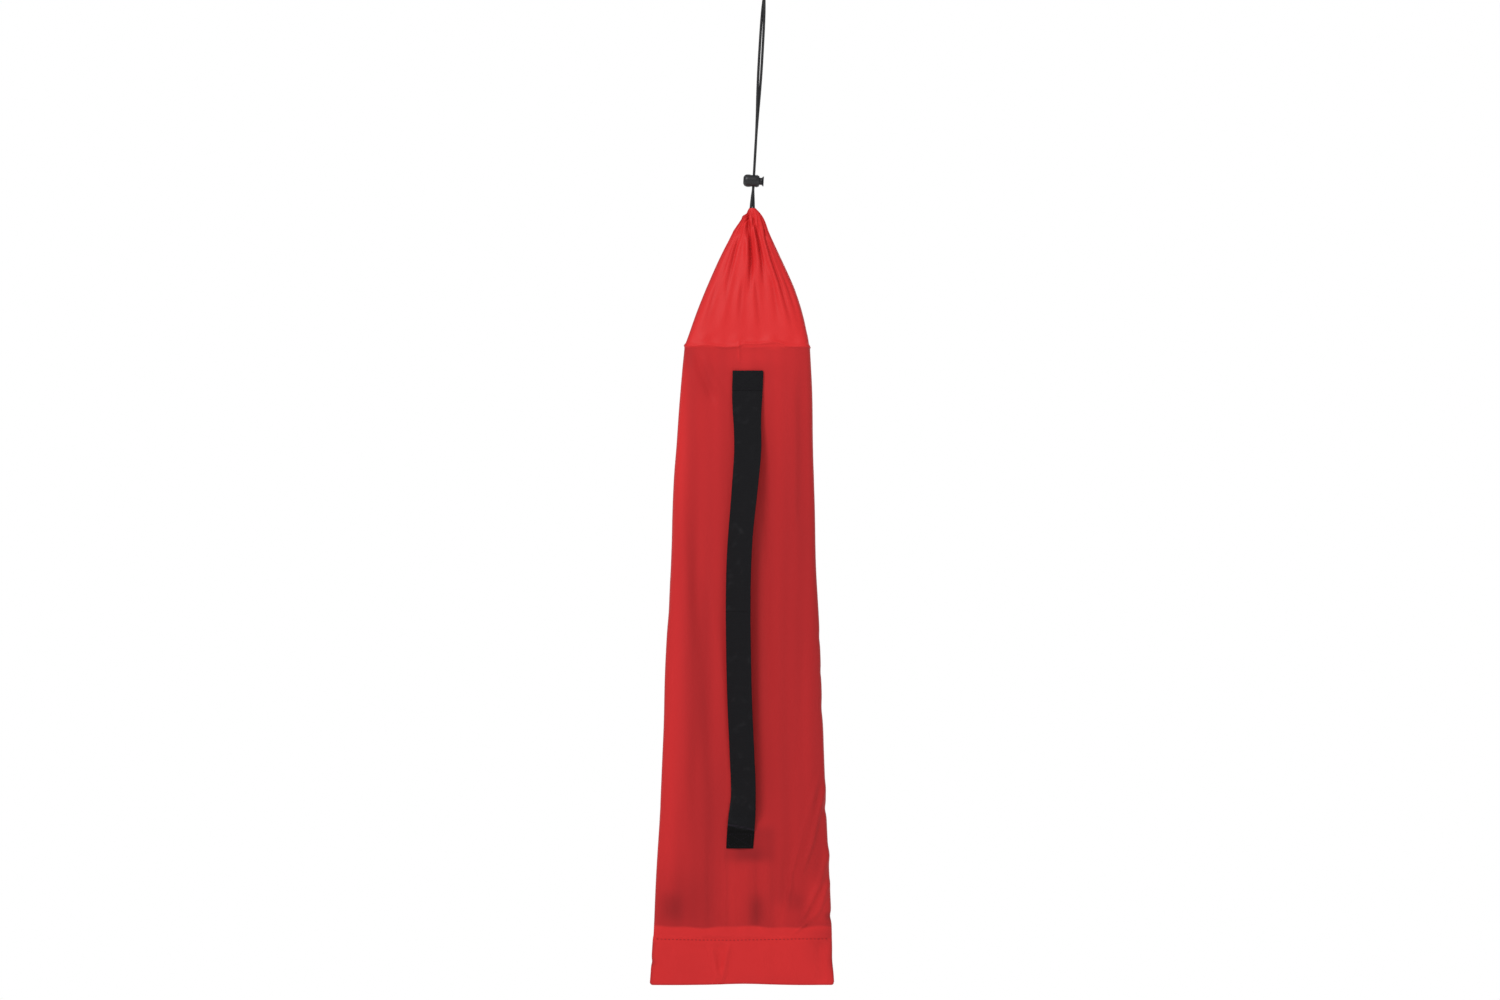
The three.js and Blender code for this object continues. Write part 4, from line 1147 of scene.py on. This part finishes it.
def add_lock():
    r, length = BARREL_RADIUS, BARREL_LENGTH
    angle = np.linspace(0.0, math.pi / 2, 18)
    dome = [(0.4 * r + 0.6 * r * math.sin(a), 5.0 - 5.0 * math.cos(a)) for a in angle]
    nose = [(r - 2.1 * (1 - math.cos(a)), length - 4.4 + 4.4 * math.sin(a)) for a in angle]
    outside = [(0.0, 0.0), *dome, (r, 7.0), (r, 10.0), *nose, (WAIST_RADIUS + BORE_ROOM, length)]
    inside = [
        (WAIST_RADIUS + BORE_ROOM, length - LIP),
        (STEM_RADIUS + BORE_ROOM, length - LIP),
        (STEM_RADIUS + BORE_ROOM, END_WALL),
        (0.0, END_WALL),
    ]
    profile = np.array(outside + inside)
    profile[:, 1] -= CORD_PLACE
    barrel = closed(turned("lock_body", profile))
    slot_end = SLOT_RIGHT + SLOT_ROOM - CORD_PLACE
    slot = slot_block("slot", SLOT_RIGHT - SLOT_LENGTH - CORD_PLACE, slot_end, SLOT_DEEP, 12.0)
    cut_away(barrel, [slot])
    edge = barrel.modifiers.new("soft edges", "BEVEL")
    edge.width = 0.25 * MM
    edge.segments = 2
    edge.angle_limit = math.radians(40)
    dress(barrel, LOCK_PLASTIC, "lock", "lock_plastic", "lock_barrel")

    start, end = SLOT_LEFT - 1.5, length - 1.5
    head = length + 2.5
    points = [
        (0.0, start),
        (STEM_RADIUS, start),
        (STEM_RADIUS, end),
        (WAIST_RADIUS, end + 0.02),
        (WAIST_RADIUS, head),
        (HEAD_RADIUS, head + 1.45),
        (HEAD_RADIUS, head + 2.2),
        (HEAD_RADIUS - 1.6, head + 2.2),
        (HEAD_RADIUS - 2.0, head + 1.9),
        (0.0, head + 1.9),
    ]
    profile = arc_profile(points)
    profile[:, 1] -= CORD_PLACE
    plunger = closed(turned("lock_button", profile))
    slot = slot_block("slot", SLOT_LEFT - CORD_PLACE, SLOT_LEFT + SLOT_LENGTH - CORD_PLACE, SLOT_DEEP, 10.0)
    cut_away(plunger, [slot])
    dress(plunger, LOCK_PLASTIC, "plunger", "lock_plastic", "lock_plunger")
    add_spring(SPRING_FOOT - CORD_PLACE, start - 0.3 - CORD_PLACE)


def add_spring(foot, top):
    """A helix of wire along the lock's X, with its end turns closer together."""
    t = np.linspace(0.0, 1.0, 190)
    turn = 2 * math.pi * 4.5 * t
    lead = foot + SPRING_WIRE / 2
    along = lead + (top - SPRING_WIRE / 2 - lead) * (t - 0.07 * np.sin(2 * math.pi * t))
    points = to_lock(np.stack([along, SPRING_RADIUS * np.cos(turn), SPRING_RADIUS * np.sin(turn)], 1))
    spring = tube("lock_spring_coil", points, SPRING_WIRE / 2, 14)
    spring.data.materials.append(SPRING_STEEL)
    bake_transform(spring)
    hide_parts("lock_spring")


add_lock()


# ---- Stitches ----


THREAD_TONE = 0.75
DARK_THREAD_TONE = -0.35


def stitch_row(name, places, directions, length, radius, material, slot, facing=-1.0):
    """A row of stitches: each a short thread along its direction, thickest in the middle, with its ends
    sunk into the cloth. facing is -1 for the front and 1 for the back."""
    places, directions = np.asarray(places, float), np.asarray(directions, float)
    directions = directions / np.linalg.norm(directions, axis=1)[:, None]
    t = np.linspace(-1.0, 1.0, 7)
    angle = np.linspace(0.0, 2 * math.pi, 8, endpoint=False)
    out = np.array([0.0, facing, 0.0])
    side = np.cross(out, directions)
    thick = radius * np.sqrt(np.clip(1.02 - t**4, 0.02, 1.0))
    centre = places[:, None, :] + directions[:, None, :] * (t * length / 2)[None, :, None]
    centre = centre + out * (0.45 * radius * (1.0 - 1.6 * t**2))[None, :, None]
    ring = np.cos(angle)[None, None, :, None] * side[:, None, None, :]
    ring = ring + np.sin(angle)[None, None, :, None] * out
    points = centre[:, :, None, :] + thick[None, :, None, None] * ring
    one = grid_faces(len(t), len(angle), True)
    faces = (np.arange(len(places))[:, None, None] * len(t) * len(angle) + one[None]).reshape(-1, 4)
    run = np.broadcast_to((t * length)[None, :, None], points.shape[:3])
    around = np.broadcast_to((angle / (2 * math.pi))[None, None, :], points.shape[:3])
    uv = np.stack([around, run], -1).reshape(-1, 2)
    tone = np.full(len(uv), THREAD_TONE if slot == "bag_nylon" else DARK_THREAD_TONE)
    return dress(add_mesh(name, points.reshape(-1, 3), faces, uv, tone), material, "bag", slot)


def add_hem_stitches():
    """One row of stitches across the front and one across the back, where the hem is sewn."""
    middle, half, _, _ = section(np.array([STITCH_Z]))
    x = np.arange(middle[0] - half[0] + 5.0, middle[0] + half[0] - 4.0, 4.2)
    z = STITCH_Z + 0.7 * np.sin(x / 31.0) - 0.6
    ways = np.column_stack([np.ones_like(x), 0 * x, 0.03 * np.sin(x)])
    for name, facing in (("hem_stitches_front", -1.0), ("hem_stitches_back", 1.0)):
        y = facing * standing_out(x, z, facing < 0)
        stitch_row(name, np.column_stack([x, y, z]), ways, 2.7, 0.36, NYLON, "bag_nylon", facing)


def add_tab_stitches():
    """A box with a cross in it on each sewn tab of the strap."""
    reach = STRAP_WIDTH / 2 - 2.6
    for name, top, foot in (
        ("top_tab_stitches", STRAP_TOP_Z - 2.5, LOOSE_TOP + 2.5),
        ("foot_tab_stitches", LOOSE_FOOT - 2.0, STRAP_TOP_Z - STRAP_LENGTH + 2.5),
    ):
        corners = [(-reach, top), (reach, top), (reach, foot), (-reach, foot)]
        lines = [(0, 1), (1, 2), (2, 3), (3, 0), (0, 2), (1, 3)]
        places, ways = [], []
        for a, b in lines:
            (ax, az), (bx, bz) = corners[a], corners[b]
            length = math.hypot(bx - ax, bz - az)
            count = round(length / 2.9)
            t = (np.arange(count) + 0.5) / count
            places.append(np.column_stack([mix(ax, bx, t), mix(az, bz, t)]))
            ways.append(np.tile([(bx - ax) / length, 0.0, (bz - az) / length], (count, 1)))
        across, z = np.vstack(places).T
        surface_points, _, _ = strap_points(z, 0.0)
        nearest = np.abs(surface_points[..., 0] - (strap_middle(z) + across)[:, None]) + 50.0 * (
            surface_points[..., 1] > surface_points[..., 1].mean(1, keepdims=True)
        )
        y = np.take_along_axis(surface_points[..., 1], nearest.argmin(1)[:, None], 1)[:, 0]
        spots = np.column_stack([strap_middle(z) + across, y, z])
        stitch_row(name, spots, np.vstack(ways), 2.2, 0.3, WEBBING, "strap_webbing")


add_hem_stitches()
add_tab_stitches()


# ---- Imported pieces: the CAD shapes with their own materials ----


def add_contents():
    looks = {
        "rolled_sock": SOCK_CLOTH,
        "sock_tie": TIE_TAPE,
        "strap_top_patch": PATCH_CLOTH,
        "strap_bottom_patch": PATCH_CLOTH,
        "drawstring_in_casing": HIDDEN_CORD,
    }
    for i in range(1, 5):
        looks[f"pole_section_{i}"] = POLE_METAL
        looks[f"pole_plug_{i}"] = PLUG_PLASTIC
    for name, material in looks.items():
        nodes[name].data.materials.clear()
        nodes[name].data.materials.append(material)


add_contents()


# ---- Floor, surroundings and lights ----


def add_floor():
    """A pale floor under the hanging bag that fades into the white surroundings."""
    bpy.ops.mesh.primitive_plane_add(size=30.0, location=(0.0, 0.0, -1.5))
    floor = bpy.context.object
    floor.name = "floor"
    material, tree, shader = node_tree("pale_floor")
    place = tree.nodes.new("ShaderNodeTexCoord").outputs["Object"]
    far = tree.nodes.new("ShaderNodeVectorMath")
    far.operation = "LENGTH"
    tree.links.new(place, far.inputs[0])
    shader.inputs["Base Color"].default_value = (0.82, 0.82, 0.82, 1.0)
    shader.inputs["Roughness"].default_value = 0.9
    glow = add_node(tree, "ShaderNodeEmission", Strength=1.0)
    glow.inputs["Color"].default_value = (1.0, 1.0, 1.0, 1.0)
    blend = tree.nodes.new("ShaderNodeMixShader")
    tree.links.new(ramp(tree, far.outputs["Value"], 0.6, 2.2), blend.inputs["Fac"])
    tree.links.new(shader.outputs[0], blend.inputs[1])
    tree.links.new(glow.outputs[0], blend.inputs[2])
    tree.links.new(blend.outputs[0], tree.nodes["Material Output"].inputs["Surface"])
    floor.data.materials.append(material)


def area_light(name, place, target, size, power, colour=(1.0, 1.0, 1.0)):
    data = bpy.data.lights.new(name, "AREA")
    data.shape = "RECTANGLE"
    data.size, data.size_y = size
    data.energy = power
    data.color = colour
    light = bpy.data.objects.new(name, data)
    away = np.subtract(target, place)
    light.location = place
    flat = math.hypot(away[0], away[1])
    light.rotation_euler = (math.atan2(flat, -away[2]), 0.0, math.atan2(-away[0], away[1]))
    bpy.context.scene.collection.objects.link(light)


def add_surroundings():
    world = bpy.data.worlds.new("studio")
    bpy.context.scene.world = world
    world.use_nodes = True
    tree = world.node_tree
    background = tree.nodes["Background"]
    seen = tree.nodes.new("ShaderNodeBackground")
    seen.inputs["Color"].default_value = (1.0, 1.0, 1.0, 1.0)
    seen.inputs["Strength"].default_value = 1.0
    background.inputs["Color"].default_value = (1.0, 1.0, 1.0, 1.0)
    background.inputs["Strength"].default_value = 0.45
    ray = tree.nodes.new("ShaderNodeLightPath")
    pick = tree.nodes.new("ShaderNodeMixShader")
    tree.links.new(ray.outputs["Is Camera Ray"], pick.inputs["Fac"])
    tree.links.new(background.outputs[0], pick.inputs[1])
    tree.links.new(seen.outputs[0], pick.inputs[2])
    tree.links.new(pick.outputs[0], tree.nodes["World Output"].inputs["Surface"])
    area_light("key", (-1.7, -2.9, 2.4), (0.0, 0.0, -0.6), (1.2, 1.2), 102.0)
    area_light("fill", (2.4, -2.6, -0.1), (0.0, 0.0, -0.6), (2.0, 2.0), 10.0)
    area_light("rim", (0.6, 2.6, 0.9), (0.0, 0.0, -0.6), (1.6, 1.6), 30.0)
    bpy.context.scene.view_settings.view_transform = "Standard"
    bpy.context.scene.view_settings.look = "None"


add_floor()
add_surroundings()
